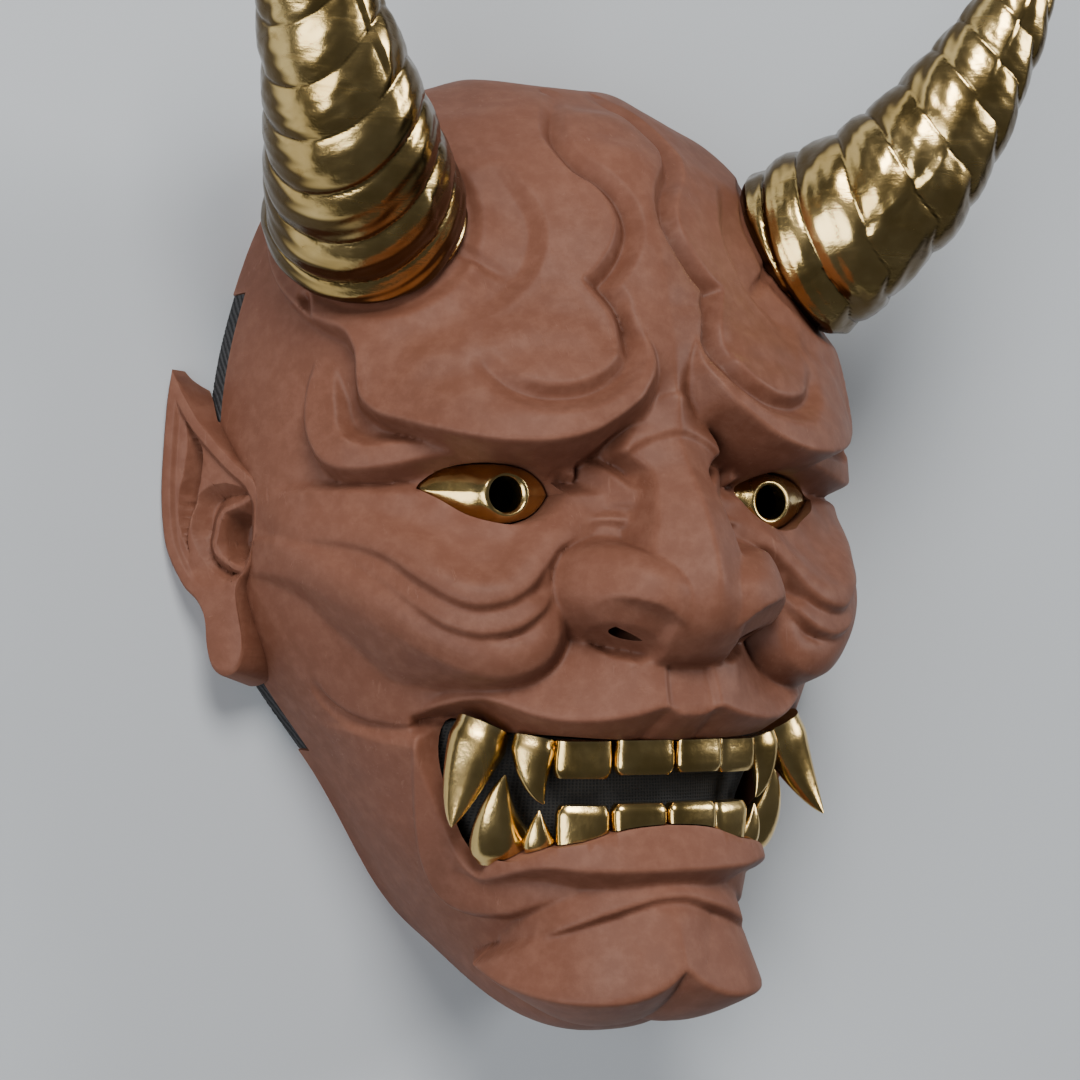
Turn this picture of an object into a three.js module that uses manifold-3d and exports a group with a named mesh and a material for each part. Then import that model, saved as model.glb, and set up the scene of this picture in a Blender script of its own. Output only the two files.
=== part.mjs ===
import * as THREE from 'three';
import { mergeVertices } from 'three/addons/utils/BufferGeometryUtils.js';
import Module from 'manifold-3d';

// the face: a base of arches, with carved forms in a map of the face (mm round from the midline, mm up from the eyes)
const stations = [
  // midline y, midline z, rim half width, rim y, fullness of the arch
  [101, 0, 0, 101, 2.0], [93, 27, 34, 93, 1.95], [72, 51, 60, 72, 2.0], [38, 66, 75, 36, 2.1],
    [0, 70, 79, 2, 2.1], [-35, 70, 74, -34, 2.25], [-72, 69, 51, -68, 2.3], [-98, 69, 36, -93, 2.5],
    [-121, 57, 25, -105, 2.7], [-124, 29, 16, -110, 2.5], [-112, 0, 0, -112, 2.0],
];
const clamp = (x, a, b) => Math.min(b, Math.max(a, x));
const mix = (a, b, t) => a + (b - a) * t;
const ease = (t) => { const k = clamp(t, 0, 1); return k * k * (3 - 2 * k); };

// a smooth line through points with any number of values each
function smooth(points, steps) {
  const first = points[0].map((x, k) => 2 * x - points[1][k]);
  const n = points.length;
  const last = points[n - 1].map((x, k) => 2 * x - points[n - 2][k]);
  const all = [first, ...points, last];
  const out = [];
  for (let i = 1; i < n; i++) {
    for (let j = 0; j < steps; j++) {
      const t = j / steps;
      out.push(all[i].map((b, k) => {
        const a = all[i - 1][k], c = all[i + 1][k], d = all[i + 2][k];
        return 0.5 * (2 * b + (c - a) * t + (2 * a - 5 * b + 4 * c - d) * t * t + (3 * b - a - 3 * c + d) * t * t * t);
      }));
    }
  }
  out.push([...points[n - 1]]);
  return out;
}
// nearest place on a line: signed distance (positive on its left), height there, fraction along
function near(line, u, v) {
  let best = Infinity, side = 1, h = 0, t = 0;
  for (let i = 0; i < line.length - 1; i++) {
    const a = line[i], b = line[i + 1];
    const bu = b[0] - a[0], bv = b[1] - a[1];
    const pu = u - a[0], pv = v - a[1];
    const f = clamp((pu * bu + pv * bv) / (bu * bu + bv * bv), 0, 1);
    const du = pu - f * bu, dv = pv - f * bv, d = du * du + dv * dv;
    if (d < best) {
      best = d;
      side = bu * pv - bv * pu < 0 ? -1 : 1;
      h = a[2] + f * (b[2] - a[2]);
      t = (i + f) / (line.length - 1);
    }
  }
  return { d: side * Math.sqrt(best), h, t };
}
const curve = (pts) => smooth(pts, 5);

// lines run so that their high side is on the left
const browEdge = curve([[6.9, 31.4, 7.6], [5.6, 27.6, 9.6], [5.5, 24.6, 10.8], [6.4, 21.8, 12.4],
  [8.4, 18.6, 14], [11.1, 15.1, 15.2], [16.4, 10.9, 16], [20.6, 8.2, 16.8], [25.7, 6.3, 17],
  [31, 5.5, 16.8], [36.3, 5.7, 16], [42, 6.6, 14.6], [49, 8.4, 12.4], [56, 10.6, 10],
  [61.5, 12.6, 8.6], [65, 16, 7.8], [66, 21, 7.2], [66.3, 27, 6.6], [68.8, 31.8, 5.8], [74, 34.3, 5],
  [80, 38.5, 4.2], [86, 46, 3.4], [90, 56, 2], [92, 66, 0.3]]);
const foldTop = curve([[36, 5.5, 2], [48, 6.6, 3.6], [57, 6.8, 4.6], [64, 6, 5.2], [68.5, 7.4, 5],
  [71.4, 11, 4.4], [73, 17, 3.4], [74, 25, 1]]);
const foldLow = curve([[24.5, 1, 0.6], [32, 4, 2], [42, 4.8, 3.6], [50.5, 3.7, 4.6], [59, 1.6, 5.4],
  [66.5, 0.5, 5.8], [72.5, 1.2, 5.8], [76.6, 4.5, 5.2], [79.4, 11, 4], [79.8, 19, 2.4], [78.5, 27, 0]]);
const cheek1 = curve([[14.5, -15, 3.6], [18.5, -13.8, 4.6], [22, -14.2, 5.8], [26.2, -16, 8],
  [29.4, -20, 10.2], [32.8, -24.2, 12.2], [36.5, -26.8, 13.6], [41.2, -27.8, 14], [46, -26.8, 13.6],
  [53.2, -22.4, 11.6], [60.2, -18, 8.2], [67.8, -15.8, 5.8], [76, -15, 3.8], [85, -15.6, 2],
  [92, -17, 0]]);
const cheek2 = curve([[27.6, -24, 7], [28.2, -26.2, 9], [30.2, -29.2, 11.6], [34.6, -32.4, 13],
  [40.4, -33.6, 13.4], [45.5, -32.5, 13.2], [50.2, -30.2, 12.4], [58, -25, 9.4], [66.2, -20.2, 6.2],
  [73.8, -17.9, 4], [81, -16.9, 2.6], [90, -17.6, 0.5]]);
const rollLow = curve([[27, -25.4, 7], [25.9, -31, 8.4], [26.3, -35.6, 9.2], [28.4, -39.4, 9.8],
  [32.4, -41.9, 10.4], [37.5, -42.6, 10.6], [42.4, -41.6, 10.6], [47.4, -39.4, 10.2],
  [55, -35.3, 9.2], [63, -31.1, 7.6], [73, -26.4, 5.4], [82, -23.2, 3.2], [92, -21.8, 1.4],
  [102, -22, 0]]);
const lipTop = curve([[0, -51.4, 15.2], [3, -50.8, 15.6], [5.7, -49.4, 16.2], [11.2, -51.1, 15],
  [16, -51.9, 13.8], [20.2, -52.1, 12.6], [25.2, -51.7, 11], [30, -50.5, 9.4], [33.8, -49, 8.2],
  [36.7, -48, 7.2], [39.8, -47.4, 6], [43, -47.7, 4.6], [46, -48.4, 3.6], [50.5, -49.9, 2.4],
  [56, -52.4, 1.6], [61, -55, 1], [66, -58, 0.4]]);
const jawIn = curve([[0, -86.4, 10.2], [8, -86.4, 10.2], [16, -86, 9.8], [23.5, -84.8, 9],
  [28.5, -85.2, 7.8], [33.8, -86.8, 6.2], [38.4, -88.2, 5], [41.2, -87.2, 4.6], [44.4, -83.4, 4.4],
  [47, -78.6, 4.2], [49.6, -70.6, 4.2], [52.5, -62.6, 4.2], [54.2, -56, 4]]);
const jawOut = curve([[12, -90, 2], [22, -92, 3.4], [34.2, -96, 4], [46, -96, 4.4],
  [52.6, -92.3, 4.6], [55, -85.4, 4.8], [54.8, -78.4, 4.8], [54.3, -70, 4.8], [54.2, -57, 4.6]]);
const chinFold = curve([[8, -88.6, 1], [13.5, -90, 4.4], [18.8, -92, 5.6], [24, -94.6, 5.8],
  [29.2, -99.4, 5], [34.8, -103.2, 4], [42, -106.5, 2], [50, -110, 0]]);
const chinLow = curve([[0, -103.2, 14.4], [1.6, -104.2, 15], [4.2, -106.3, 16], [8.2, -108.2, 17],
  [12.6, -109, 17], [17.4, -109.3, 16], [23.2, -109.2, 14], [29.4, -108.6, 12], [36, -107.6, 9.4],
  [44, -106.6, 6], [52, -105.6, 2.6], [60, -105, 0]]);
const boss = curve([[45, 30.6, 0], [40, 33.4, 1.4], [35.4, 35.9, 2.6], [30.4, 40.2, 3.4],
  [26.5, 44.5, 3.8], [23.6, 50.7, 4], [22.4, 56.3, 4], [23.2, 62.4, 3.4], [26.7, 70.5, 1.8],
  [29.6, 75.6, 0]]);
const scrollIn = curve([[9, 102, 0.6], [14.6, 90, 2.2], [17.2, 80, 3], [15, 71.4, 3.3],
  [10.6, 65.4, 3.5], [8.8, 62, 3.4], [8, 58.1, 3.6], [8.4, 54.5, 3.6], [10.8, 49.5, 3.6],
  [14.4, 45.2, 3.6], [17.4, 43, 3.8], [17.2, 42, 3.8], [16.1, 39.8, 3.8], [14.3, 36.2, 3.8],
  [13.2, 33.4, 3.8], [12.7, 30.3, 3.8], [13.2, 27.2, 3.8], [15, 24.1, 3.8], [18.6, 21, 3.8],
  [23.2, 18.9, 3.8], [28.6, 18.5, 3.4], [33, 20, 2.6], [36.4, 23, 1.4], [38, 26.5, 0.4]]);

// how a form with an edge stands: gently away on the high side, steeply down on the other
function ledge(line, u, v, span, keep, slope, power = 1.5) {
  const n = near(line, u, v);
  if (n.d >= 0) {
    const k = clamp(1 - n.d / span, 0, 1);
    return n.h * (keep + (1 - keep) * k ** power);
  }
  return n.h + n.d * slope;
}
// soft maximum
function join(a, b, r) {
  const k = clamp(0.5 + (a - b) / (2 * r), 0, 1);
  return mix(b, a, k) + r * k * (1 - k);
}
const bump = (u, v, cu, cv, ru, rv) => Math.exp(-(((u - cu) / ru) ** 2) - ((v - cv) / rv) ** 2);
// rounded dome of given half sizes and height, falling below zero outside
function dome(u, v, cu, cv, ru, rv, height, turn = 0, lean = 0, power = 0.5) {
  const c = Math.cos(turn), s = Math.sin(turn);
  const x = ((u - cu) * c + (v - cv) * s) / ru, y = ((v - cv) * c - (u - cu) * s) / rv;
  const q = 1 - x * x - y * y;
  return q > 0 ? height * (1 - lean * x) * q ** power : -8 * (Math.sqrt(1 - q) - 1) - 0.01;
}
// the wing of the nose: a long round form, fuller towards the bridge
function wing(u, v) {
  const c = Math.cos(0.425), s = Math.sin(0.425);
  const x = (u - 9.4) * c + (v + 26.6) * s, y = ((v + 26.6) * c - (u - 9.4) * s) / 15;
  const q = 1 - (x / (x > 0 ? 24.4 : 35)) ** 2 - Math.abs(y) ** 3;
  return q > 0 ? 24.6 * q ** 1.55 : -6;
}
// a smooth value along v through [v, value] pairs
function profile(list) {
  const pts = smooth(list, 8);
  return (v) => {
    if (v >= pts[0][0]) return pts[0][1];
    for (let i = 1; i < pts.length; i++) {
      if (v >= pts[i][0]) return mix(pts[i - 1][1], pts[i][1], (pts[i - 1][0] - v) / (pts[i - 1][0] - pts[i][0]));
    }
    return pts[pts.length - 1][1];
  };
}
// height at a place, drawn from nearby marks [u, v, h]
function pull(marks, u, v, soft) {
  let sum = 0, total = 0;
  for (const [mu, mv, mh] of marks) {
    const w = 1 / ((u - mu) ** 2 + (v - mv) ** 2 + soft * soft) ** 2;
    sum += w * mh;
    total += w;
  }
  return sum / total;
}
// distance to a closed outline
function nearEdge(outline, u, v) {
  return Math.abs(near([...outline, outline[0]].map(([a, b]) => [a, b, 0]), u, v).d);
}
// is a place within a closed outline
function within(outline, u, v) {
  let odd = false;
  for (let i = 0, j = outline.length - 1; i < outline.length; j = i++) {
    const a = outline[i], b = outline[j];
    if ((a[1] > v) !== (b[1] > v) && u < ((b[0] - a[0]) * (v - a[1])) / (b[1] - a[1]) + a[0]) odd = !odd;
  }
  return odd;
}

const chinTop = curve([[0, -91.6, 7.6], [4, -91.9, 7.4], [7.5, -92.8, 7.1], [12.8, -94.3, 7],
  [16.1, -95.5, 7], [20.1, -97.2, 7], [24.5, -99.5, 6.2], [29, -102.2, 4.8], [34, -105, 3]]);
// soft wrinkles beside the nose, each a hollow with a crisp upper edge
const wrinkles = [
  { line: curve([[26, -9.8, 0], [21.8, -7.5, 1.2], [16.8, -6.2, 1.5], [12.6, -6.2, 1.5],
    [8.6, -6.8, 1.2]]), wide: 3 },
  { line: curve([[26.4, -12.6, 0], [21.9, -10.5, 1.2], [16.9, -9.6, 1.6], [12.8, -10, 1.6],
    [8.8, -11.2, 1.2]]), wide: 3.6 },
];
const flapOutline = smooth([[27, -8.8], [23.5, -7.2], [19.5, -5.6], [17.2, -4.3], [17.8, -2.6],
  [20.4, 0.8], [19.4, 2.9], [16, 2.6], [13.1, 0.6], [10.5, -2.3], [8.8, -3.4], [8, -5.4], [8, -9],
  [8.6, -13], [9.6, -16], [15, -15.6], [22, -14.4], [28, -14]], 3);
const hornSeat = smooth([[77, 56], [73.5, 64], [68, 69], [62, 72.6], [55.5, 75], [48.5, 75.5],
  [42, 72.5], [38.6, 66], [38.6, 58.5], [41.5, 51], [45.6, 44.6], [51, 40.4], [57.5, 37.6],
  [65.5, 37.4], [73, 41], [77, 48.5]], 2);
const wingFold = curve([[24.6, -26.2, 13], [22.7, -26.2, 15.4], [20.4, -26.3, 17.4],
  [17.3, -26.6, 19.2], [13.3, -27.7, 20.6], [9.4, -29.8, 20.8], [6.2, -32.8, 19.6], [3.4, -36.4, 17]]);
const crows = [
  { line: curve([[80, -0.5, 0], [82.5, -4.5, 0.5], [84, -8.5, 0]]), wide: 1.1 },
  { line: curve([[80, -9, 0], [74.5, -6, 0.6], [69, -3.8, 0.8], [63.5, -3, 0.8],
    [58.5, -3, 0.6]]), wide: 1.4 },
];
const notches = [
  { line: curve([[45.5, 54.4, 3], [38.5, 49, 1.8], [31.6, 43.8, 0]]), wide: 1.9 },
  { line: curve([[78, 41, 2.6], [77.4, 36, 2], [77, 31, 0]]), wide: 1.3 },
];
function groove(list, u, v) {
  let g = 0;
  for (const w of list) {
    const n = near(w.line, u, v);
    if (Math.abs(n.d) < w.wide * 1.6) g -= n.h * Math.max(0, 1 - (Math.abs(n.d) / w.wide) ** 1.5);
  }
  return g;
}
const hookGroove = curve([[54, -56.4, 1.2], [61.8, -56.2, 1.5], [69.2, -55.2, 1.5],
  [75.5, -53.1, 1.4], [80, -50.2, 1.2], [83.6, -45.6, 0]]);
const plateOutline = [...browEdge, [140, 66, 0], [140, 150, 0], [-9, 150, 0], [-9, 31.4, 0]];
const thin = (line) => line.filter((p, i) => i % 3 === 0);
const plateMarks = [...thin(browEdge), [0, 100, 2], [0, 85, 4.6], [0, 72, 6.8], [0, 60, 8.8],
  [0, 50, 9.6], [0, 41, 9.4], [0, 34, 9.2], [3.2, 61.3, 7], [3, 54, 8], [5.4, 48, 8], [9.9, 41.1, 7],
  [7.4, 35, 8], [7, 29, 9], [9, 22.5, 11.6], [15, 71, 4.4], [8.8, 62.1, 5.8], [8.2, 56, 5.8],
  [10.8, 49.5, 5.4], [14.4, 45.2, 5], [17.2, 43, 4.4], [14.3, 36.2, 5.4], [12.8, 30.3, 7.6],
  [15.1, 24.3, 10.8], [19, 20.5, 12.4], [25, 18.5, 12.6], [29.5, 19, 12], [23, 28, 8.4],
  [23, 36, 5.2], [32, 28, 7.6], [40, 24, 8.4], [40, 16, 11.8], [50, 22, 8.6], [55, 32, 5],
  [48, 34, 3.6], [26.7, 70.5, 3.2], [22.6, 60, 3.4], [23.6, 50.7, 3], [26.5, 44.5, 2.4],
  [30.4, 40.2, 2.2], [36, 36, 2.6], [36, 48, 1.8], [34, 60, 2.2], [64, 45, 4], [75, 55, 3.6],
  [50, 60, 2.6], [30, 82, 2], [60, 80, 1.5], [85, 75, 1], [16, 88, 3], [30, 100, 1], [60, 95, 0.5],
  [0, 120, 0], [40, 115, 0], [100, 80, 0], [105, 60, 0]];
const cheekMarks = [...thin(cheek1), [20, -8, 1.5], [26, -9, 1.5], [31, -13, 3.6], [37, -14, 3.2],
  [44, -13, 3.2], [51, -10, 3], [58, -8, 2.6], [66, -8, 2.6], [76, -7, 1.8], [86, -8, 0.8],
  [98, -12, 0], [37, -19, 8], [44, -19, 8], [51, -17, 7], [24, -2, -1], [33, -7, -1], [44, -7, -1],
  [54, -3, -0.5], [64, 0, 0], [76, 2, 0], [90, 0, -0.5]];
const bridge = profile([[42, 5], [36, 8.4], [31, 9.1], [26, 9.8], [20, 10.3], [15, 10.4], [11, 10.5],
  [8, 11.3], [4, 13.3], [-0.7, 15.6], [-7, 19.4], [-12.5, 22.5], [-18.6, 25.2], [-24, 26.4],
  [-29, 25.7], [-33.5, 23.4], [-37.2, 19.8], [-39.6, 16.8], [-41.2, 12], [-42.4, 4], [-43, 0]]);
const noseHalf = profile([[36, 9], [26, 6.5], [20, 5.6], [16, 5.8], [14, 6.6], [11, 9], [7.6, 11],
  [5, 11.4], [2.4, 8.4], [0, 6.9], [-6, 7.7], [-10, 8.4], [-15, 9.8], [-19, 9.6], [-24, 8.2],
  [-30, 7.6], [-36, 8], [-41, 7.4], [-46, 6]]);
const noseSlope = profile([[36, 0.1], [30, 0.12], [26, 0.26], [22, 0.4], [18, 0.7], [15, 0.7],
  [12, 0.5], [9, 0.36], [6, 0.42], [3, 0.55], [0, 0.64], [-6, 0.74], [-10, 0.78], [-15, 0.84],
  [-19, 0.82], [-21, 0.78], [-24, 0.7], [-26, 0.6], [-30, 0.5], [-34, 0.48], [-38, 0.52], [-42, 0.5]]);
const noseRound = profile([[20, 0.4], [0, 0.5], [-12, 0.8], [-19, 1.2], [-25, 1.8], [-32, 3.5],
  [-40, 6]]);
function relief(uSigned, v) {
  const u = Math.abs(uSigned);
  // ground: socket hollows, and the cheek swelling to the mouth
  let h = 3 * bump(u, v, 55, -76, 24, 27) - 2.4 * bump(u, v, 70, -5, 14, 9);
  h -= 12 * bump(u, v, 24, -3.4, 8.5, 7.5) + 3 * bump(u, v, 40, -3, 16, 7);
  h += groove(crows, u, v);
  const fold = ledge(foldLow, u, v, 30, 1, 2.4);
  const ft = near(foldTop, u, v);
  const band = Math.min(fold, ft.d > 0 ? ft.h - Math.min(3.6, ft.d * 1.5) : 99);
  if (u > 20 && v > -6) h = Math.max(h, band);
  // flap between the nose and the corner of the eye
  const flap = nearEdge(flapOutline, u, v);
  let lobe = mix(17.4 - u, 10.6 - 0.3 * u, ease((-5 - v) / 5)) - (within(flapOutline, u, v) ? 0.8 * Math.max(0, 1 - flap / 2.5) ** 2 : 0.8 + 1.9 * flap);
  for (const w of wrinkles) {
    const n = near(w.line, u, v);
    if (n.d > 0) lobe -= n.h * Math.min(1, n.d / 0.9) * Math.max(0, 1 - (n.d - 0.9) / w.wide);
  }
  h = join(h, lobe, 0.5);
  // forehead and brow plate
  const eb = near(browEdge, u, v);
  let plate = mix(eb.h, pull(plateMarks, u, v, 5.5), ease(Math.abs(eb.d) / 13));
  if (!within(plateOutline, u, v)) plate -= mix(1.6, 3.2, ease((u - 6) / 8)) * Math.abs(eb.d);
  else {
    plate += 0.5 * Math.max(0, 1 - Math.abs(eb.d) / 3) * ease(eb.h / 4);
    const bs = near(boss, u, v);
    const bossFade = ease(bs.h / 1.5);
    plate += bs.d >= 0 ? 0.12 * bs.h * (1 - ease(bs.d / 7)) * bossFade : bs.h * bossFade * (0.12 - 0.7 * Math.min(1, -bs.d / 3.5) + 0.58 * ease((-bs.d - 4) / 13));
    const sc = near(scrollIn, u, v);
    const away = -sc.d;
    if (away > 0) plate -= 0.6 * sc.h * Math.max(0, away < 3.2 ? away / 3.2 : 1 - (away - 3.2) / 2.9);
    plate += 0.07 * sc.h * Math.max(0, 1 - Math.abs(sc.d) / 3);
    plate += groove(notches, u, v);
    plate -= within(hornSeat, u, v) ? 2 : 2 * (1 - ease(nearEdge(hornSeat, u, v) / 3.8));
  }
  h = Math.max(h, plate);
  // cheek in three terraces
  const e1 = near(cheek1, u, v);
  let c1 = e1.d >= 0 ? mix(e1.h, pull(cheekMarks, u, v, 5), ease(e1.d / 9)) - Math.max(0, v + 4) * 1.2 : e1.h + e1.d * 1.8;
  const e2 = near(cheek2, u, v);
  const c2 = e2.d >= 0 ? e2.h - 0.16 * e2.d - 0.03 * e2.d * e2.d : e2.h + e2.d * 1.8;
  const n3 = near(rollLow, u, v);
  const c3 = n3.d >= 0 ? n3.h + 1.6 * ease((96 - u) / 30) * Math.sin(clamp(n3.d / 9, 0, 1) * Math.PI) - Math.max(0, n3.d - 7) * 0.8 : n3.h + n3.d * mix(1.9, 0.75, ease((u - 36) / 26));
  h = Math.max(h, c1, c2, c3);
  // muzzle and upper lip, with the philtrum let in
  const lip = near(lipTop, u, v);
  let muzzle = ledge(lipTop, u, v, 34, 0.3, 1.5, 1.1) - Math.max(0, v + 26) * 0.6;
  muzzle -= 0.033 * Math.max(0, u - 12) * clamp(lip.d, 0, 16);
  if (u < 8 && v < -36) {
    const edge = 5 - 0.08 * (v + 42.5);
    muzzle -= 1.2 * clamp((edge - u) / 1.1 + 0.5, 0, 1);
  }
  const nIn = near(jawIn, u, v);
  const nOut = near(jawOut, u, v);
  const sideways = ease((nIn.t - 0.5) / 0.16);
  const inside = v < -56 && nIn.d > 0;
  if (inside || (lip.d < 0 && v < -45 && v >= -56 && u < 56)) h = -7;
  h = Math.max(h, muzzle);
  if (v < -56) {
    const out = nOut.d >= 0 ? nOut.h - 0.1 * nOut.d : nOut.h + 1.3 * nOut.d;
    const lower = inside ? nIn.h - mix(0.42, 2.4, sideways) * nIn.d : Math.max(out, nIn.h + mix(1.7, 0.12, sideways) * nIn.d);
    h = Math.max(h, lower);
  }
  h += groove([{ line: hookGroove, wide: 1.7 }], u, v);
  // chin
  if (v < -80) {
    const fold2 = near(chinFold, u, v);
    const pad = ledge(chinLow, u, v, 16.5, 0.06, 1.05, 1) + 0.9 * Math.max(0, 1 - u / 7) * ease((-92 - v) / 4);
    const top = near(chinTop, u, v);
    let chin = top.d >= 0 ? top.h - 0.75 * top.d : Math.max(pad, top.h - 2.4 * ease(-top.d / 2) + 0.4 * top.d);
    if (top.d >= 0 && fold2.d >= 0) chin = Math.min(chin, fold2.h - 0.9 * fold2.d);
    h = Math.max(h, chin);
  }
  // nose
  if (v > -46 && v < 41) {
    const r = noseRound(v);
    const uu = Math.sqrt(u * u + r * r) - r;
    let nose = bridge(v) - noseSlope(v) * uu - Math.max(0, u - noseHalf(v)) * 3;
    nose -= 1.1 * ease((9.7 - 0.036 * u * u - v) / 1.1) * ease((v + 8) / 12);
    nose -= 0.9 * ease((v - 17.3 + 0.075 * u * u) / 1.1) * ease((28 - v) / 8);
    h = join(h, nose, 0.8);
  }
  let ala = wing(u, v) - 2.5 * Math.max(0, v + 15.7 + 0.028 * (u - 17) ** 2);
  const under = near(wingFold, u, v);
  if (under.d > 0) ala = Math.min(ala, under.h + 0.6 - 0.85 * under.d);
  h = Math.max(h, ala);
  return h - 5 * Math.max(0, dome(u, v, 14.2, -35.2, 6.9, 3.5, 1, 0.416));
}

// the base surface
const rows = smooth(stations, 40);
const arcs = [0];
for (let i = 1; i < rows.length; i++) arcs.push(arcs[i - 1] + Math.hypot(rows[i][0] - rows[i - 1][0], rows[i][1] - rows[i - 1][1]));
let eyeRow = 0;
for (let i = 0; i < rows.length; i++) if (rows[i][1] > 40 && Math.abs(rows[i][0]) < Math.abs(rows[eyeRow][0])) eyeRow = i;
const vTop = arcs[eyeRow];
const vBottom = arcs[eyeRow] - arcs[arcs.length - 1];
function rowAt(v) {
  const s = clamp(vTop - v, 0, arcs[arcs.length - 1]);
  let lo = 0, hi = arcs.length - 1;
  while (hi - lo > 1) { const m = (lo + hi) >> 1; if (arcs[m] <= s) lo = m; else hi = m; }
  const t = (s - arcs[lo]) / (arcs[hi] - arcs[lo]);
  return rows[lo].map((x, k) => mix(x, rows[hi][k], t));
}
function archPoint(row, a) {
  const [my, mz, rx, ry, p] = row;
  const c = Math.max(0, Math.cos(a)) ** (2 / p), s = Math.max(0, Math.sin(a)) ** (2 / p);
  return [rx * s, my * c + ry * (1 - c), mz * c];
}
const archSteps = 120;
// tape lengths round one arch
function archTable(row) {
  const pts = [], len = [0];
  for (let i = 0; i <= archSteps; i++) {
    const a = (i / archSteps) * Math.PI / 2;
    pts.push(archPoint(row, a));
    if (i) len.push(len[i - 1] + Math.hypot(...pts[i].map((x, k) => x - pts[i - 1][k])));
  }
  return { pts, len, total: len[archSteps] };
}
function onArch(table, u) {
  const s = clamp(u, 0, table.total);
  let lo = 0, hi = archSteps;
  while (hi - lo > 1) { const m = (lo + hi) >> 1; if (table.len[m] <= s) lo = m; else hi = m; }
  const t = table.len[hi] > table.len[lo] ? (s - table.len[lo]) / (table.len[hi] - table.len[lo]) : 0;
  return table.pts[lo].map((x, k) => mix(x, table.pts[hi][k], t));
}

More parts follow.
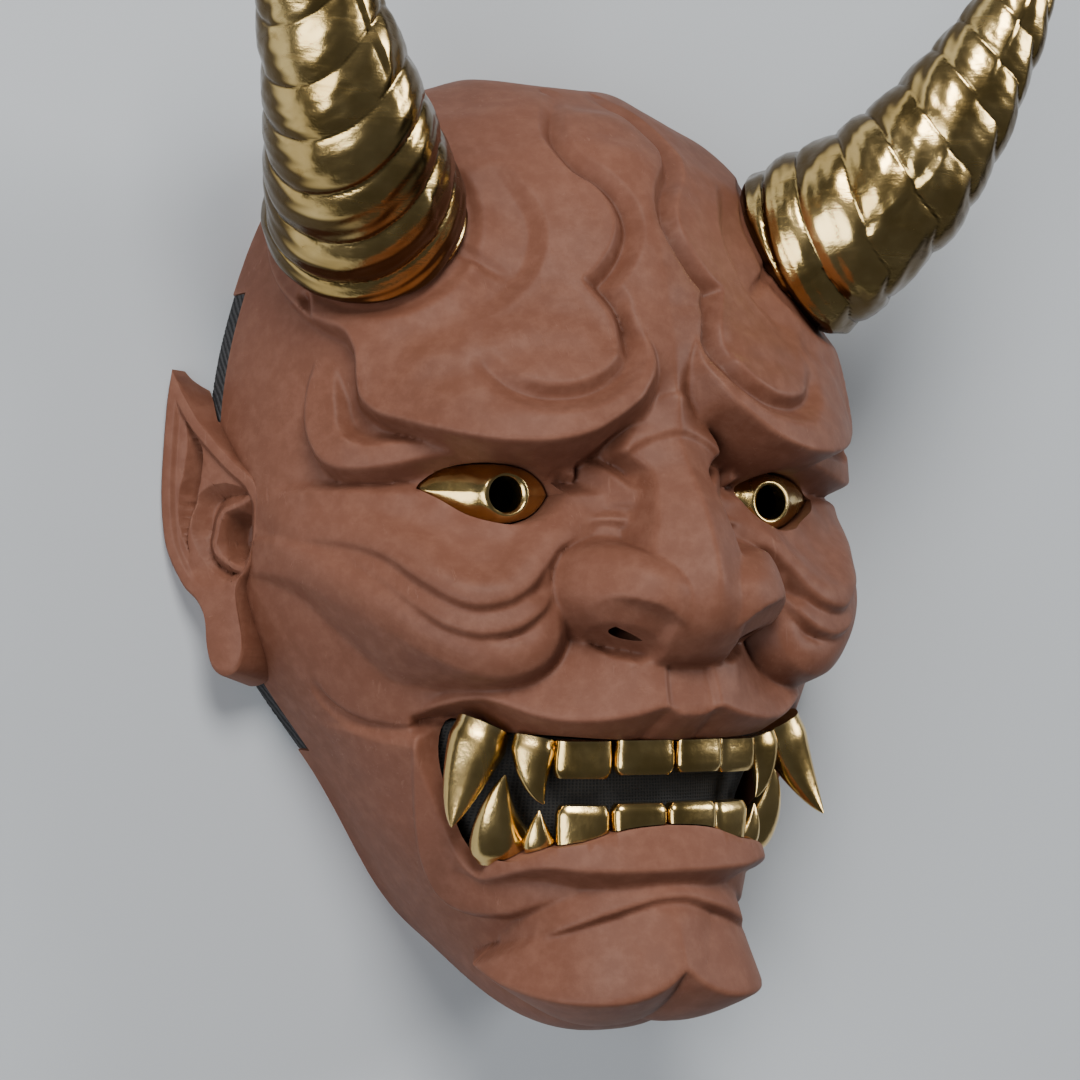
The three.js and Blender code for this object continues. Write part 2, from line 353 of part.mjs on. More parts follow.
// Collapses the edges that matter least until few enough triangles are left, keeping the body closed.
function thinOut(points, faces, wanted) {
  const pos = points.map((p) => [...p]);
  const tri = faces.map((f) => [...f]);
  const around = pos.map(() => new Set());
  tri.forEach((f, i) => f.forEach((k) => around[k].add(i)));
  const planes = pos.map(() => new Float64Array(10));
  const normalOf = (a, b, c) => {
    const x = [b[0] - a[0], b[1] - a[1], b[2] - a[2]];
    const y = [c[0] - a[0], c[1] - a[1], c[2] - a[2]];
    return [x[1] * y[2] - x[2] * y[1], x[2] * y[0] - x[0] * y[2], x[0] * y[1] - x[1] * y[0]];
  };
  for (const f of tri) {
    const n = normalOf(pos[f[0]], pos[f[1]], pos[f[2]]);
    const area = Math.hypot(...n);
    if (area < 1e-12) continue;
    const [a, b, c] = n.map((x) => x / area);
    const d = -(a * pos[f[0]][0] + b * pos[f[0]][1] + c * pos[f[0]][2]);
    const q = [a * a, a * b, a * c, a * d, b * b, b * c, b * d, c * c, c * d, d * d];
    for (const k of f) q.forEach((x, m) => { planes[k][m] += x * area; });
  }
  const costAt = (q, [x, y, z]) => q[0] * x * x + 2 * q[1] * x * y + 2 * q[2] * x * z + 2 * q[3] * x
    + q[4] * y * y + 2 * q[5] * y * z + 2 * q[6] * y + q[7] * z * z + 2 * q[8] * z + q[9];
  const stamp = new Int32Array(pos.length);
  const gone = new Uint8Array(pos.length);
  const heap = [];
  const push = (item) => {
    heap.push(item);
    let i = heap.length - 1;
    while (i > 0) {
      const up = (i - 1) >> 1;
      if (heap[up].cost <= heap[i].cost) break;
      [heap[up], heap[i]] = [heap[i], heap[up]];
      i = up;
    }
  };
  const pop = () => {
    const top = heap[0];
    const last = heap.pop();
    if (heap.length) {
      heap[0] = last;
      let i = 0;
      for (;;) {
        let low = i;
        for (const k of [2 * i + 1, 2 * i + 2]) if (k < heap.length && heap[k].cost < heap[low].cost) low = k;
        if (low === i) break;
        [heap[low], heap[i]] = [heap[i], heap[low]];
        i = low;
      }
    }
    return top;
  };
  const offer = (a, b) => {
    const q = planes[a].map((x, m) => x + planes[b][m]);
    const flatA = pos[a][2] === 0, flatB = pos[b][2] === 0;
    const places = flatA === flatB ? [pos[a], pos[b], pos[a].map((x, k) => (x + pos[b][k]) / 2)] : [flatA ? pos[a] : pos[b]];
    let cost = Infinity, place = null;
    for (const p of places) {
      const c = costAt(q, p);
      if (c < cost) { cost = c; place = p; }
    }
    const length = Math.hypot(...pos[a].map((x, k) => x - pos[b][k]));
    push({ cost: Math.max(0, cost) + 1e-5 * length, a, b, place: [...place], mark: stamp[a] + stamp[b] });
  };
  const nextTo = (k) => {
    const out = new Set();
    for (const i of around[k]) for (const m of tri[i]) if (m !== k) out.add(m);
    return out;
  };
  pos.forEach((p, a) => { for (const b of nextTo(a)) if (a < b) offer(a, b); });
  let left = tri.length;
  while (left > wanted && heap.length) {
    const { a, b, place, mark } = pop();
    if (gone[a] || gone[b] || stamp[a] + stamp[b] !== mark) continue;
    const nearA = nextTo(a), nearB = nextTo(b);
    if (!nearA.has(b)) continue;
    let shared = 0;
    for (const k of nearA) if (nearB.has(k)) shared++;
    if (shared !== 2) continue;
    let turns = false;
    for (const k of [a, b]) {
      for (const i of around[k]) {
        const f = tri[i];
        if (f.includes(a) && f.includes(b)) continue;
        const before = normalOf(...f.map((m) => pos[m]));
        const after = normalOf(...f.map((m) => (m === k ? place : pos[m])));
        const dot = before[0] * after[0] + before[1] * after[1] + before[2] * after[2];
        const size = Math.hypot(...before) * Math.hypot(...after);
        if (dot < 0.25 * size || Math.hypot(...after) < 1e-3) turns = true;
      }
    }
    if (turns) continue;
    pos[a] = place;
    for (const i of [...around[b]]) {
      const f = tri[i];
      if (f.includes(a)) {
        for (const m of f) around[m].delete(i);
        tri[i] = null;
        left--;
      } else {
        tri[i] = f.map((m) => (m === b ? a : m));
        around[a].add(i);
      }
    }
    around[b].clear();
    gone[b] = 1;
    planes[a] = planes[a].map((x, m) => x + planes[b][m]);
    stamp[a] += stamp[b] + 1;
    for (const k of nextTo(a)) {
      stamp[k]++;
    }
    for (const k of nextTo(a)) offer(a, k);
    for (const k of nextTo(a)) for (const m of nextTo(k)) if (m !== a && k < m) offer(k, m);
  }
  const index = new Map();
  const outPoints = [];
  const outFaces = tri.filter((f) => f).map((f) => f.map((m) => {
    if (!index.has(m)) { index.set(m, outPoints.length); outPoints.push(pos[m]); }
    return index.get(m);
  }));
  return { points: outPoints, faces: outFaces };
}

const wasm = await Module();
wasm.setup();

// Sizes of the pieces, in millimetres
const wall = 4.4;
const gap = 0.3;
const rimFade = 14;
const faceRows = 150;
const faceColumns = 132;
const outerTriangles = 2700;
const innerTriangles = 400;
const mouthDepth = -3.4;

// a solid from points and triangles, turned outward
function solid(points, faces) {
  let volume = 0;
  for (const [a, b, c] of faces) {
    const [p, q, r] = [points[a], points[b], points[c]];
    volume += p[0] * (q[1] * r[2] - q[2] * r[1]) - p[1] * (q[0] * r[2] - q[2] * r[0]) + p[2] * (q[0] * r[1] - q[1] * r[0]);
  }
  const turned = volume < 0 ? faces.map(([a, b, c]) => [a, c, b]) : faces;
  return new wasm.Manifold(new wasm.Mesh({
    numProp: 3,
    vertProperties: new Float32Array(points.flat()),
    triVerts: new Uint32Array(turned.flat()),
  }));
}
function solidOf(geometry) {
  geometry.deleteAttribute('normal');
  geometry.deleteAttribute('uv');
  const merged = mergeVertices(geometry, 1e-4);
  return new wasm.Manifold(new wasm.Mesh({
    numProp: 3,
    vertProperties: new Float32Array(merged.attributes.position.array),
    triVerts: new Uint32Array(merged.index.array),
  }));
}
function geometryOf(body) {
  const mesh = body.getMesh();
  const geometry = new THREE.BufferGeometry();
  geometry.setAttribute('position', new THREE.BufferAttribute(new Float32Array(mesh.vertProperties), mesh.numProp));
  geometry.setIndex(new THREE.BufferAttribute(new Uint32Array(mesh.triVerts), 1));
  return geometry;
}
// rings of points, one after another, closed at both ends
function loft(rings) {
  const sides = rings[0].length;
  const points = rings.flat();
  const faces = [];
  for (let j = 0; j < rings.length - 1; j++) {
    for (let i = 0; i < sides; i++) {
      const a = j * sides + i;
      const b = j * sides + (i + 1) % sides;
      faces.push([a, b, b + sides], [a, b + sides, a + sides]);
    }
  }
  const middle = (ring) => [0, 1, 2].map((k) => ring.reduce((sum, p) => sum + p[k], 0) / sides);
  const first = points.push(middle(rings[0])) - 1;
  const last = points.push(middle(rings[rings.length - 1])) - 1;
  const end = (rings.length - 1) * sides;
  for (let i = 0; i < sides; i++) {
    const next = (i + 1) % sides;
    faces.push([next, i, first], [end + i, end + next, last]);
  }
  return solid(points, faces);
}

// a place on the face, with its outward direction
function facePlace(u, v) {
  const at = (uu, vv) => {
    const p = onArch(archTable(rowAt(vv)), Math.abs(uu));
    return new THREE.Vector3(uu < 0 ? -p[0] : p[0], p[1], p[2]);
  };
  const p = at(u, v);
  const across = at(u + 1, v).sub(at(u - 1, v)).normalize();
  const up = at(u, v + 1).sub(at(u, v - 1)).normalize();
  return { p, across, up, out: across.clone().cross(up).normalize() };
}
function facePoint(u, v, h) {
  const place = facePlace(u, v);
  return place.p.addScaledVector(place.out, h);
}

// The face as a body: arches from crown to chin, lifted by a given amount, closed below at a given level
function faceBody(lift, level, triangles) {
  const base = [];
  const map = [];
  const width = faceColumns + 1;
  for (let j = 0; j <= faceRows; j++) {
    const v = mix(vTop - 2, vBottom + 2, j / faceRows);
    const table = archTable(rowAt(v));
    for (let i = 0; i <= faceColumns; i++) {
      const u = table.total * (2 * i / faceColumns - 1);
      const p = onArch(table, Math.abs(u));
      base.push([u < 0 ? -p[0] : p[0], p[1], p[2]]);
      map.push([u, v, table.total]);
    }
  }
  const at = (j, i) => base[clamp(j, 0, faceRows) * width + clamp(i, 0, faceColumns)];
  const heights = lift(map, width);
  const points = base.map((p, k) => {
    const j = Math.floor(k / width);
    const i = k % width;
    const [left, right] = [at(j, i - 1), at(j, i + 1)];
    const [up, down] = [at(j - 1, i), at(j + 1, i)];
    const out = new THREE.Vector3(right[0] - left[0], right[1] - left[1], right[2] - left[2])
      .cross(new THREE.Vector3(up[0] - down[0], up[1] - down[1], up[2] - down[2])).normalize();
    const q = [p[0] + out.x * heights[k], p[1] + out.y * heights[k], p[2] + out.z * heights[k]];
    q[2] = i === 0 || i === faceColumns ? level : Math.max(q[2], 0.15);
    return q;
  });
  const id = (j, i) => j * width + i;
  const faces = [];
  for (let j = 0; j < faceRows; j++) {
    for (let i = 0; i < faceColumns; i++) {
      faces.push([id(j, i), id(j + 1, i), id(j + 1, i + 1)], [id(j, i), id(j + 1, i + 1), id(j, i + 1)]);
    }
  }
  const crown = points.push([0, stations[0][0] + heights[faceColumns / 2], level]) - 1;
  const last = stations[stations.length - 1];
  const chin = points.push([0, last[0] - heights[faceRows * width + faceColumns / 2], level]) - 1;
  const centre = points.push([0, 0, level]) - 1;
  for (let i = 0; i < faceColumns; i++) {
    faces.push([id(0, i), id(0, i + 1), crown], [id(faceRows, i + 1), id(faceRows, i), chin]);
  }
  for (let j = 0; j < faceRows; j++) {
    faces.push([id(j + 1, 0), id(j, 0), centre], [id(j, faceColumns), id(j + 1, faceColumns), centre]);
  }
  faces.push([id(0, 0), crown, centre], [crown, id(0, faceColumns), centre]);
  faces.push([chin, id(faceRows, 0), centre], [id(faceRows, faceColumns), chin, centre]);
  return thinOut(points, faces, triangles);
}
const near4 = [[-0.6, -0.6], [0.6, -0.6], [-0.6, 0.6], [0.6, 0.6]];
function outerLift(map) {
  return map.map(([u, v, total]) => {
    const height = near4.reduce((sum, [du, dv]) => sum + relief(u + du, v + dv), 0) / near4.length;
    return height * ease((total - Math.abs(u)) / rimFade);
  });
}
// the inside follows the lowest skin nearby, one wall thickness in
function innerLift(map, width) {
  const skin = map.map(([u, v, total]) => Math.max(-6, relief(u, v) * ease((total - Math.abs(u)) / rimFade)));
  const rows = map.length / width;
  const reach = 3;
  const pass = (values, pick) => values.map((value, k) => {
    const j = Math.floor(k / width);
    const i = k % width;
    const seen = [];
    for (let dj = -reach; dj <= reach; dj++) {
      for (let di = -reach; di <= reach; di++) {
        const row = clamp(j + dj, 0, rows - 1);
        seen.push(values[row * width + clamp(i + di, 0, width - 1)]);
      }
    }
    return pick(seen);
  });
  const lowest = pass(skin, (seen) => Math.min(...seen));
  const calm = pass(lowest, (seen) => seen.reduce((sum, x) => sum + x, 0) / seen.length);
  return calm.map((h, k) => {
    const [u, v] = map[k];
    const mouth = 1 - ease((Math.hypot(u / 62, (v + 68) / 30) - 0.8) / 0.4);
    return mix(h, Math.min(h, 0), mouth) - wall;
  });
}
const outer = faceBody(outerLift, 0, outerTriangles);
const inner = faceBody(innerLift, -3, innerTriangles);

// Openings, drawn in the map of the face and cut straight through
function outlinePoints(outline, h, grow) {
  const points = outline.map(([u, v]) => facePoint(u, v, h));
  const flat = points.map((p) => new THREE.Vector2(p.x, p.y));
  const turn = THREE.ShapeUtils.area(flat) > 0 ? 1 : -1;
  return flat.map((p, i) => {
    const before = p.clone().sub(flat[(i + flat.length - 1) % flat.length]).normalize();
    const after = flat[(i + 1) % flat.length].clone().sub(p).normalize();
    const along = before.clone().add(after).normalize();
    const stretch = (grow * turn) / Math.max(0.4, along.dot(after));
    return new THREE.Vector2(p.x + along.y * stretch, p.y - along.x * stretch);
  });
}
const outlineShape = (outline, h, grow) => new THREE.Shape(outlinePoints(outline, h, grow));
function prism(shape, low, high) {
  const geometry = new THREE.ExtrudeGeometry(shape, { depth: high - low, bevelEnabled: false });
  geometry.translate(0, 0, low);
  return solidOf(geometry);
}
const halfMouth = smooth([[0, -57.6], [8, -57.5], [16.8, -57.1], [25, -56.4], [32, -55.8],
  [37, -53.6], [41.5, -52.8], [45, -54.8], [47, -59], [47.4, -64], [46.4, -69.5], [45, -75],
  [43.4, -80], [40.5, -83.6], [37, -84.6], [32.6, -83.2], [26.6, -81.2], [19, -80], [12.6, -77.8],
  [7, -76.8], [0, -76.4]], 1);
const mouthOutline = [...halfMouth, ...halfMouth.slice(1, -1).reverse().map(([u, v]) => [-u, v])];
const eyeOutline = smooth([[57.6, -3], [52, 1], [45.5, 2.7], [38, 3.2], [30, 2.2], [25.4, -0.6],
  [23.5, -3.7]], 2).slice(0, -1)
  .concat(smooth([[23.5, -3.7], [26, -6.7], [30, -9.3], [37, -10.8], [44, -9.8], [50.6, -7],
    [54.6, -4.8], [57.6, -3]], 2).slice(0, -1));
const flipSide = (outline) => outline.map(([u, v]) => [-u, v]);

// Nostril: a slanted oval hole up behind the wing of the nose
function nostril(side) {
  const rings = [];
  const from = facePoint(side * 12.9, -35.2, 14);
  const to = facePoint(side * 12.5, -27.5, -14);
  const along = to.clone().sub(from).normalize();
  const across = new THREE.Vector3(1, 0, 0).addScaledVector(along, -along.x).normalize();
  const up = across.clone().cross(along);
  for (let j = 0; j <= 1; j++) {
    const ring = [];
    for (let i = 0; i < 12; i++) {
      const a = (i / 12) * 2 * Math.PI;
      ring.push(from.clone().lerp(to, j).addScaledVector(across, 4.4 * Math.cos(a)).addScaledVector(up, 2.3 * Math.sin(a)).toArray());
    }
    rings.push(ring);
  }
  return loft(rings);
}

// Ear: a pointed plate standing back from the side of the face, carved on its front
const earFront = [-75, 0, 22.5];
const earAcross = [-0.607, 0, -0.795];
const earOut = [-0.795, 0, 0.607];
const earThick = 13;
const earFlare = 2.6;
const earTriangles = 320;
const earOutline = smooth([[23.6, 26], [24.7, 20], [25.3, 14.5], [26, 5.5], [26.3, -1.5], [26, -8.2],
  [25.1, -14], [23.3, -18.5], [20.2, -23.6], [17, -26.6], [15.2, -29.6], [14.4, -33], [14.1, -37],
  [13.5, -40], [12.4, -42.2], [10.4, -43.6], [8, -43.4], [6, -41.8], [4.9, -39], [4.9, -35.5],
  [5.5, -32], [6.2, -28.5], [6.5, -25], [5.6, -22.2], [3.6, -19.4], [2, -15], [1, -10], [0.6, -4.6],
  [1.6, -0.6], [3.8, 1.8], [6.8, 4.2], [10, 7.2], [13.2, 10.5], [16.2, 13.8], [18.5, 17.2],
  [20.6, 20.6], [23.6, 26]], 2).slice(0, -1);
const earCentre = [11, -6];
const scapha = smooth([[20.8, 15, 0], [20, 9.8, 0], [20.8, 3, 0], [22, -1.5, 0], [22.3, -6, 0],
  [22, -9.5, 0], [21, -12.8, 0], [19.2, -16.5, 0], [19.8, -12.5, 0], [18.9, -8.2, 0], [17.3, -3.8, 0],
  [16.3, 0.8, 0], [15.8, 6.2, 0], [16.6, 9.4, 0], [18.5, 12.5, 0], [20.8, 15, 0]], 3);
const concha = smooth([[8, -0.6, 0], [10.5, -0.2, 0], [14.5, -1, 0], [17, -2.8, 0], [18.5, -6, 0],
  [18.8, -10.8, 0], [18, -14, 0], [15.8, -17.5, 0], [12.8, -20.6, 0], [9.4, -22.4, 0], [6, -22, 0],
  [3.4, -18.5, 0], [2.2, -14, 0], [1.8, -9, 0], [2, -5, 0], [4, -2, 0], [8, -0.6, 0]], 3);
const innerRidge = smooth([[3, -3.4, 0], [5, -4.7, 0], [8, -5.8, 0], [10, -6.8, 0], [11.2, -9, 0],
  [11.8, -12, 0], [12.3, -14.2, 0], [11.2, -16.5, 0], [9.2, -18, 0], [6.8, -19.4, 0],
  [4.4, -20, 0]], 3);
const earRim = [...earOutline, earOutline[0]].map(([a, b]) => [a, b, 0]);
const earDepth = { hollow: 1.2, scapha: 4.6, concha: 3.8, hole: 4.2 };
const earHole = [6.6, -12.4, 3.4, 5.4];
// height of the ear's front over its plane: rim, long groove, bowl, curled ridge and hole
function earHeight(a, b) {
  const inside = Math.abs(near(earRim, a, b).d);
  let h = -earDepth.hollow * ease((inside - 2.2) / 1.4) * ease((b + 25) / 6);
  if (within(scapha, a, b)) h -= Math.min(earDepth.scapha, 2 * Math.abs(near(scapha, a, b).d));
  if (within(concha, a, b)) h -= Math.min(earDepth.concha, 1.1 * Math.abs(near(concha, a, b).d));
  h = Math.max(h, -0.5 - 1.4 * Math.max(0, Math.abs(near(innerRidge, a, b).d) - 0.5));
  const r = Math.hypot((a - earHole[0]) / earHole[2], (b - earHole[1]) / earHole[3]);
  return h - earDepth.hole * ease((1.15 - r) / 0.6);
}
function ear(side) {
  const rings = 16;
  const points = [];
  const faces = [];
  const sides = earOutline.length;
  const front = new THREE.Vector3(...earFront);
  const across = new THREE.Vector3(...earAcross);
  const out = new THREE.Vector3(...earOut);
  const place = (a, b, h) => front.clone().addScaledVector(across, a).addScaledVector(out, h).add(new THREE.Vector3(0, b, 0));
  const add = (p) => points.push([p.x * side, p.y, p.z]) - 1;
  const centre = add(place(...earCentre, earHeight(...earCentre)));
  for (let j = 1; j <= rings; j++) {
    const r = (j / rings) ** 0.8;
    for (const [a, b] of earOutline) {
      const x = mix(earCentre[0], a, r);
      const y = mix(earCentre[1], b, r);
      add(place(x, y, j === rings ? -0.4 : earHeight(x, y)));
    }
  }
  const back = points.length;
  earOutline.forEach(([a, b], i) => {
    const before = earOutline[(i + sides - 1) % sides];
    const after = earOutline[(i + 1) % sides];
    const length = Math.hypot(after[0] - before[0], after[1] - before[1]);
    const [na, nb] = [(before[1] - after[1]) / length, (after[0] - before[0]) / length];
    const flare = earFlare * (1 - ease((na - 0.1) / 0.7)) * ease((25 - b) / 8);
    const p = place(a + na * flare, b + nb * flare, 0);
    add(p.addScaledVector(out, -Math.min(earThick, p.z / earOut[2])));
  });
  const backCentre = place(...earCentre, 0);
  const end = add(backCentre.addScaledVector(out, -Math.min(earThick, backCentre.z / earOut[2])));
  for (let i = 0; i < sides; i++) {
    const n = (i + 1) % sides;
    faces.push([centre, 1 + i, 1 + n], [end, back + n, back + i]);
    for (let j = 0; j < rings; j++) {
      const a = 1 + j * sides + i;
      const b = 1 + j * sides + n;
      faces.push([a, a + sides, b + sides], [a, b + sides, b]);
    }
  }
  const light = thinOut(points, faces, earTriangles);
  return solid(light.points, light.faces);
}

// the ear's outline as a slab, drawn in by a share and reaching between two heights
function earSlab(side, share, low, high) {
  const rings = [low, high].map((h) => earOutline.map(([a, b]) => {
    const x = mix(earCentre[0], a, share);
    const y = mix(earCentre[1], b, share);
    const p = new THREE.Vector3(...earFront).addScaledVector(new THREE.Vector3(...earAcross), x)
      .addScaledVector(new THREE.Vector3(...earOut), h);
    return [p.x * side, p.y + y, p.z];
  }));
  return loft(rings);
}

// Elastic band in the rim behind each ear, from temple to jaw
const strapRise = 6.5;
const strapLow = 0.5;
const strapThick = 2.4;
const strapTop = 44;
const strapBottom = -61;
function strapShape(side, outside, inside, extra) {
  const path = [];
  const count = 10;
  for (let k = 0; k <= count; k++) {
    const y = mix(strapTop + extra, strapBottom - extra, k / count);
    path.push(rimAt(y));
  }
  const offset = (distance) => path.map((p, i) => {
    const a = path[Math.max(0, i - 1)];
    const b = path[Math.min(path.length - 1, i + 1)];
    const along = b.clone().sub(a).normalize();
    return new THREE.Vector2((p.x - along.y * distance) * side, p.y + along.x * distance);
  });
  return new THREE.Shape([...offset(outside), ...offset(-inside).reverse()]);
}
// half width of the rim at a height on the face
function rimAt(y) {
  let best = rows[0];
  for (const row of rows) {
    if (Math.abs(row[3] - y) < Math.abs(best[3] - y)) best = row;
  }
  return new THREE.Vector2(best[2], y);
}

// Horn: rings along a curve that leaves the forehead outward and forward, then climbs
const hornPath = new THREE.CatmullRomCurve3([[52, 52, 32], [57.4, 57, 40], [66, 66, 54], [73, 75, 63],
  [79, 85, 69], [86, 98, 74.5], [93, 114, 80], [98, 131, 85], [100.5, 149, 90]]
  .map((p) => new THREE.Vector3(...p)));
const hornBase = 22;
const hornRings = 26;
const hornSides = 11;
function horn(side) {
  const rings = [];
  const length = hornPath.getLength();
  let frame = new THREE.Vector3(0, 0, 1);
  for (let j = 0; j <= hornRings; j++) {
    const t = j / hornRings;
    const p = hornPath.getPointAt(t);
    const along = hornPath.getTangentAt(t);
    frame = frame.addScaledVector(along, -frame.dot(along)).normalize();
    const other = along.clone().cross(frame);
    const s = Math.max(0, t * length - 12) / (length - 12);
    const radius = hornBase * (1 - s ** 1.25) + 0.35;
    const root = mix(0.5, 1, ease(t * length / 13));
    const rib = 1 + 0.045 * Math.cos((t * length) / 9.4 * 2 * Math.PI) * (1 - s);
    const ring = [];
    for (let i = 0; i < hornSides; i++) {
      const a = (i / hornSides) * 2 * Math.PI;
      ring.push(p.clone().addScaledVector(frame, radius * rib * root * Math.cos(a)).addScaledVector(other, radius * rib * root * Math.sin(a)).toArray());
    }
    rings.push(ring.map(([x, y, z]) => [x * side, y, z]));
  }
  const body = loft(rings);
  return body.subtract(nudge(outer, 0.2 * side, 0.2, 0.28));
}

// Eye: a domed almond with a round hole through it and a raised lip
const pupil = [36, -4];
const pupilRadius = 4.1;
const eyeSeat = -3;
function eyeHeight(u, v) {
  const inward = Math.max(0, (pupil[0] - u) / 14) ** 1.35;
  const outward = Math.max(0, (u - pupil[0]) / 21) ** 2;
  return -1.3 - 6.7 * inward + 0.8 * outward - 0.05 * (v - pupil[1]) ** 2;
}
function eye(side) {
  const sides = eyeOutline.length;
  const hole = facePoint(side * pupil[0], pupil[1], -1.3);
  const middle = new THREE.Vector2(hole.x, hole.y);
  const rings = [0, 0.12, 0.24, 1];
  const points = [];
  const outline = side > 0 ? eyeOutline : flipSide(eyeOutline);
  const shrink = outlinePoints(outline, eyeSeat, -gap);
  const thick = 3;
  for (const [level, drop] of [[rings, 0], [[1, 0], thick]]) {
    for (const r of level) {
      shrink.forEach((p, i) => {
        const [u, v] = eyeOutline[i];
        const away = new THREE.Vector2(p.x - middle.x, p.y - middle.y);
        const start = middle.clone().addScaledVector(away.clone().normalize(), pupilRadius);
        const at = start.lerp(p, r);
        const uu = mix(pupil[0], u, r);
        const vv = mix(pupil[1], v, r);
        const lip = r === 0.12 && !drop ? 0.9 : 0;
        const z = facePoint(side * uu, vv, eyeHeight(uu, vv)).z + lip - drop;
        points.push([at.x, at.y, z]);
      });
    }
  }
  const faces = [];
  const loops = rings.length + 2;
  for (let j = 0; j < loops; j++) {
    const next = (j + 1) % loops;
    for (let i = 0; i < sides; i++) {
      const n = (i + 1) % sides;
      const [a, b, c, d] = [j * sides + i, j * sides + n, next * sides + n, next * sides + i];
      faces.push([a, b, c], [a, c, d]);
    }
  }
  return solid(points, faces);
}

// Teeth: blocks and fangs set along the jaws, joined by a strip behind them
function block(u, v1, v2, h, width, depth) {
  const rings = [];
  const steps = [[0, 0.9], [0.75, 1], [1, 0.8]];
  for (const [t, size] of steps) {
    const place = facePlace(u, mix(v1, v2, t));
    const middle = place.p.clone().addScaledVector(place.out, h - depth / 2);
    const ring = [];
    for (let i = 0; i < 8; i++) {
      const a = ((i + 0.5) / 8) * 2 * Math.PI;
      const x = Math.sign(Math.cos(a)) * Math.abs(Math.cos(a)) ** 0.5 * width / 2 * mix(1, size, 0.4);
      const y = Math.sign(Math.sin(a)) * Math.abs(Math.sin(a)) ** 0.5 * depth / 2 * size;
      ring.push(middle.clone().addScaledVector(place.across, x).addScaledVector(place.out, y).toArray());
    }
    rings.push(ring);
  }
  return loft(rings);
}
function fang(base, bend, tip, width, depth) {
  const curve = new THREE.QuadraticBezierCurve3(base, bend, tip);
  const rings = [];
  const count = 5;
  for (let j = 0; j <= count; j++) {
    const t = j / count;
    const p = curve.getPoint(t);
    const along = curve.getTangent(t);
    const across = new THREE.Vector3(1, 0, -0.3 * Math.sign(base.x)).addScaledVector(along, -along.x).normalize();
    const out = across.clone().cross(along).normalize();
    const size = Math.max(0.03, (1 - t) ** 0.75) * (j === 0 ? 0.8 : 1);
    const ring = [];
    for (let i = 0; i < 7; i++) {
      const a = (i / 7) * 2 * Math.PI;
      ring.push(p.clone().addScaledVector(across, width / 2 * size * Math.cos(a)).addScaledVector(out, depth / 2 * size * Math.sin(a)).toArray());
    }
    rings.push(ring);
  }
  return loft(rings);
}
function strip(vTopEdge, vLowEdge, reach, h, depth) {
  const rings = [];
  const count = 10;
  for (let j = 0; j <= count; j++) {
    const u = mix(-reach, reach, j / count);
    const bend = 2.6 * (Math.abs(u) / reach) ** 4;
    const corner = (v, k) => facePoint(u, v, k).toArray();
    const far = 1.6 * (Math.abs(u) / reach) ** 2;
    rings.push([corner(vTopEdge + bend, h - far), corner(vLowEdge, h - far), corner(vLowEdge, h - depth - far), corner(vTopEdge + bend, h - depth - far)]);
  }
  return loft(rings);
}
function upperTeeth() {
  let row = strip(-58.4, -62, 43, 3.6, 3);
  for (const [u, low, h, width] of [[-18.7, -65.6, 5.8, 13], [-5.6, -65, 6.8, 14.4],
    [7.5, -64.6, 6.8, 12.4], [18.8, -64.8, 5.8, 12]]) {
    row = row.add(block(u, -57.4, low, h, width, 5));
  }
  for (const side of [-1, 1]) {
    row = row.add(fang(facePoint(side * 28.8, -56.8, 2.6), facePoint(side * 29.6, -65, 5.6), facePoint(side * 26, -71, 5), 11.6, 6.8));
    row = row.add(fang(facePoint(side * 39.8, -54.2, 1.2), facePoint(side * 42.6, -66, 9), new THREE.Vector3(side * 48.4, -75.8, 64.1), 15, 11));
  }
  return seated(row);
}
function lowerTeeth() {
  let row = strip(-74.4, -77.4, 41, 3.4, 3);
  for (const side of [-1, 1]) {
    row = row.add(block(side * 6.3, -78.4, -71.4, 6.2, 13, 5));
    row = row.add(block(side * 18, -80.8, -71.8, 5.2, 12, 5.4));
    row = row.add(fang(facePoint(side * 26.8, -81, 2.6), facePoint(side * 27, -78, 4.6), facePoint(side * 26.8, -72.6, 4.4), 8.4, 6));
    row = row.add(fang(facePoint(side * 35.4, -82.4, 0.6), facePoint(side * 36.2, -75, 6), new THREE.Vector3(side * 35, -65, 63.5), 16, 10));
  }
  return seated(row);
}

// Lining: a thin curved panel across the mouth, behind the teeth
function panel(front, back) {
  const rings = [];
  const count = 10;
  for (let j = 0; j <= count; j++) {
    const u = mix(-56, 56, j / count);
    rings.push([[-46, front], [-92, front], [-92, back],
      [-46, back]].map(([v, h]) => facePoint(u, v, h).toArray()));
  }
  return loft(rings);
}
// teeth stay clear of the lips and of the lining
const nudge = (mesh, x, y, z) => solid(mesh.points.map((p) => [p[0] + x, p[1] + y, p[2] + z]), mesh.faces);
const mouthInside = prism(outlineShape(mouthOutline, 2, -gap), -10, 120);
const lips = nudge(outer, 0, 0, gap).add(nudge(outer, 0, gap, 0)).subtract(mouthInside);
const seated = (row) => row.subtract(lips).subtract(panel(mouthDepth + gap, -24));
const lining = () => panel(mouthDepth, mouthDepth - 1.4).intersect(mouthInside);

const faceOuter = solid(outer.points, outer.faces);
const cavity = solid(inner.points, inner.faces);
const room = cavity.subtract(earSlab(1, 1, -10.5, 16)).subtract(earSlab(-1, 1, -10.5, 16));
let shell = faceOuter.subtract(earSlab(1, 0.97, -9, 16)).subtract(earSlab(-1, 0.97, -9, 16));
shell = shell.add(ear(1)).add(ear(-1)).subtract(room);
shell = shell.subtract(prism(outlineShape(mouthOutline, 2, 0), 15, 120));
for (const side of [-1, 1]) {
  shell = shell.subtract(prism(outlineShape(side > 0 ? eyeOutline : flipSide(eyeOutline), eyeSeat, 0), 15, 120));
  shell = shell.subtract(nostril(side));
  shell = shell.subtract(prism(strapShape(side, 0.35, strapThick + gap, gap), -1, strapRise + gap));
}

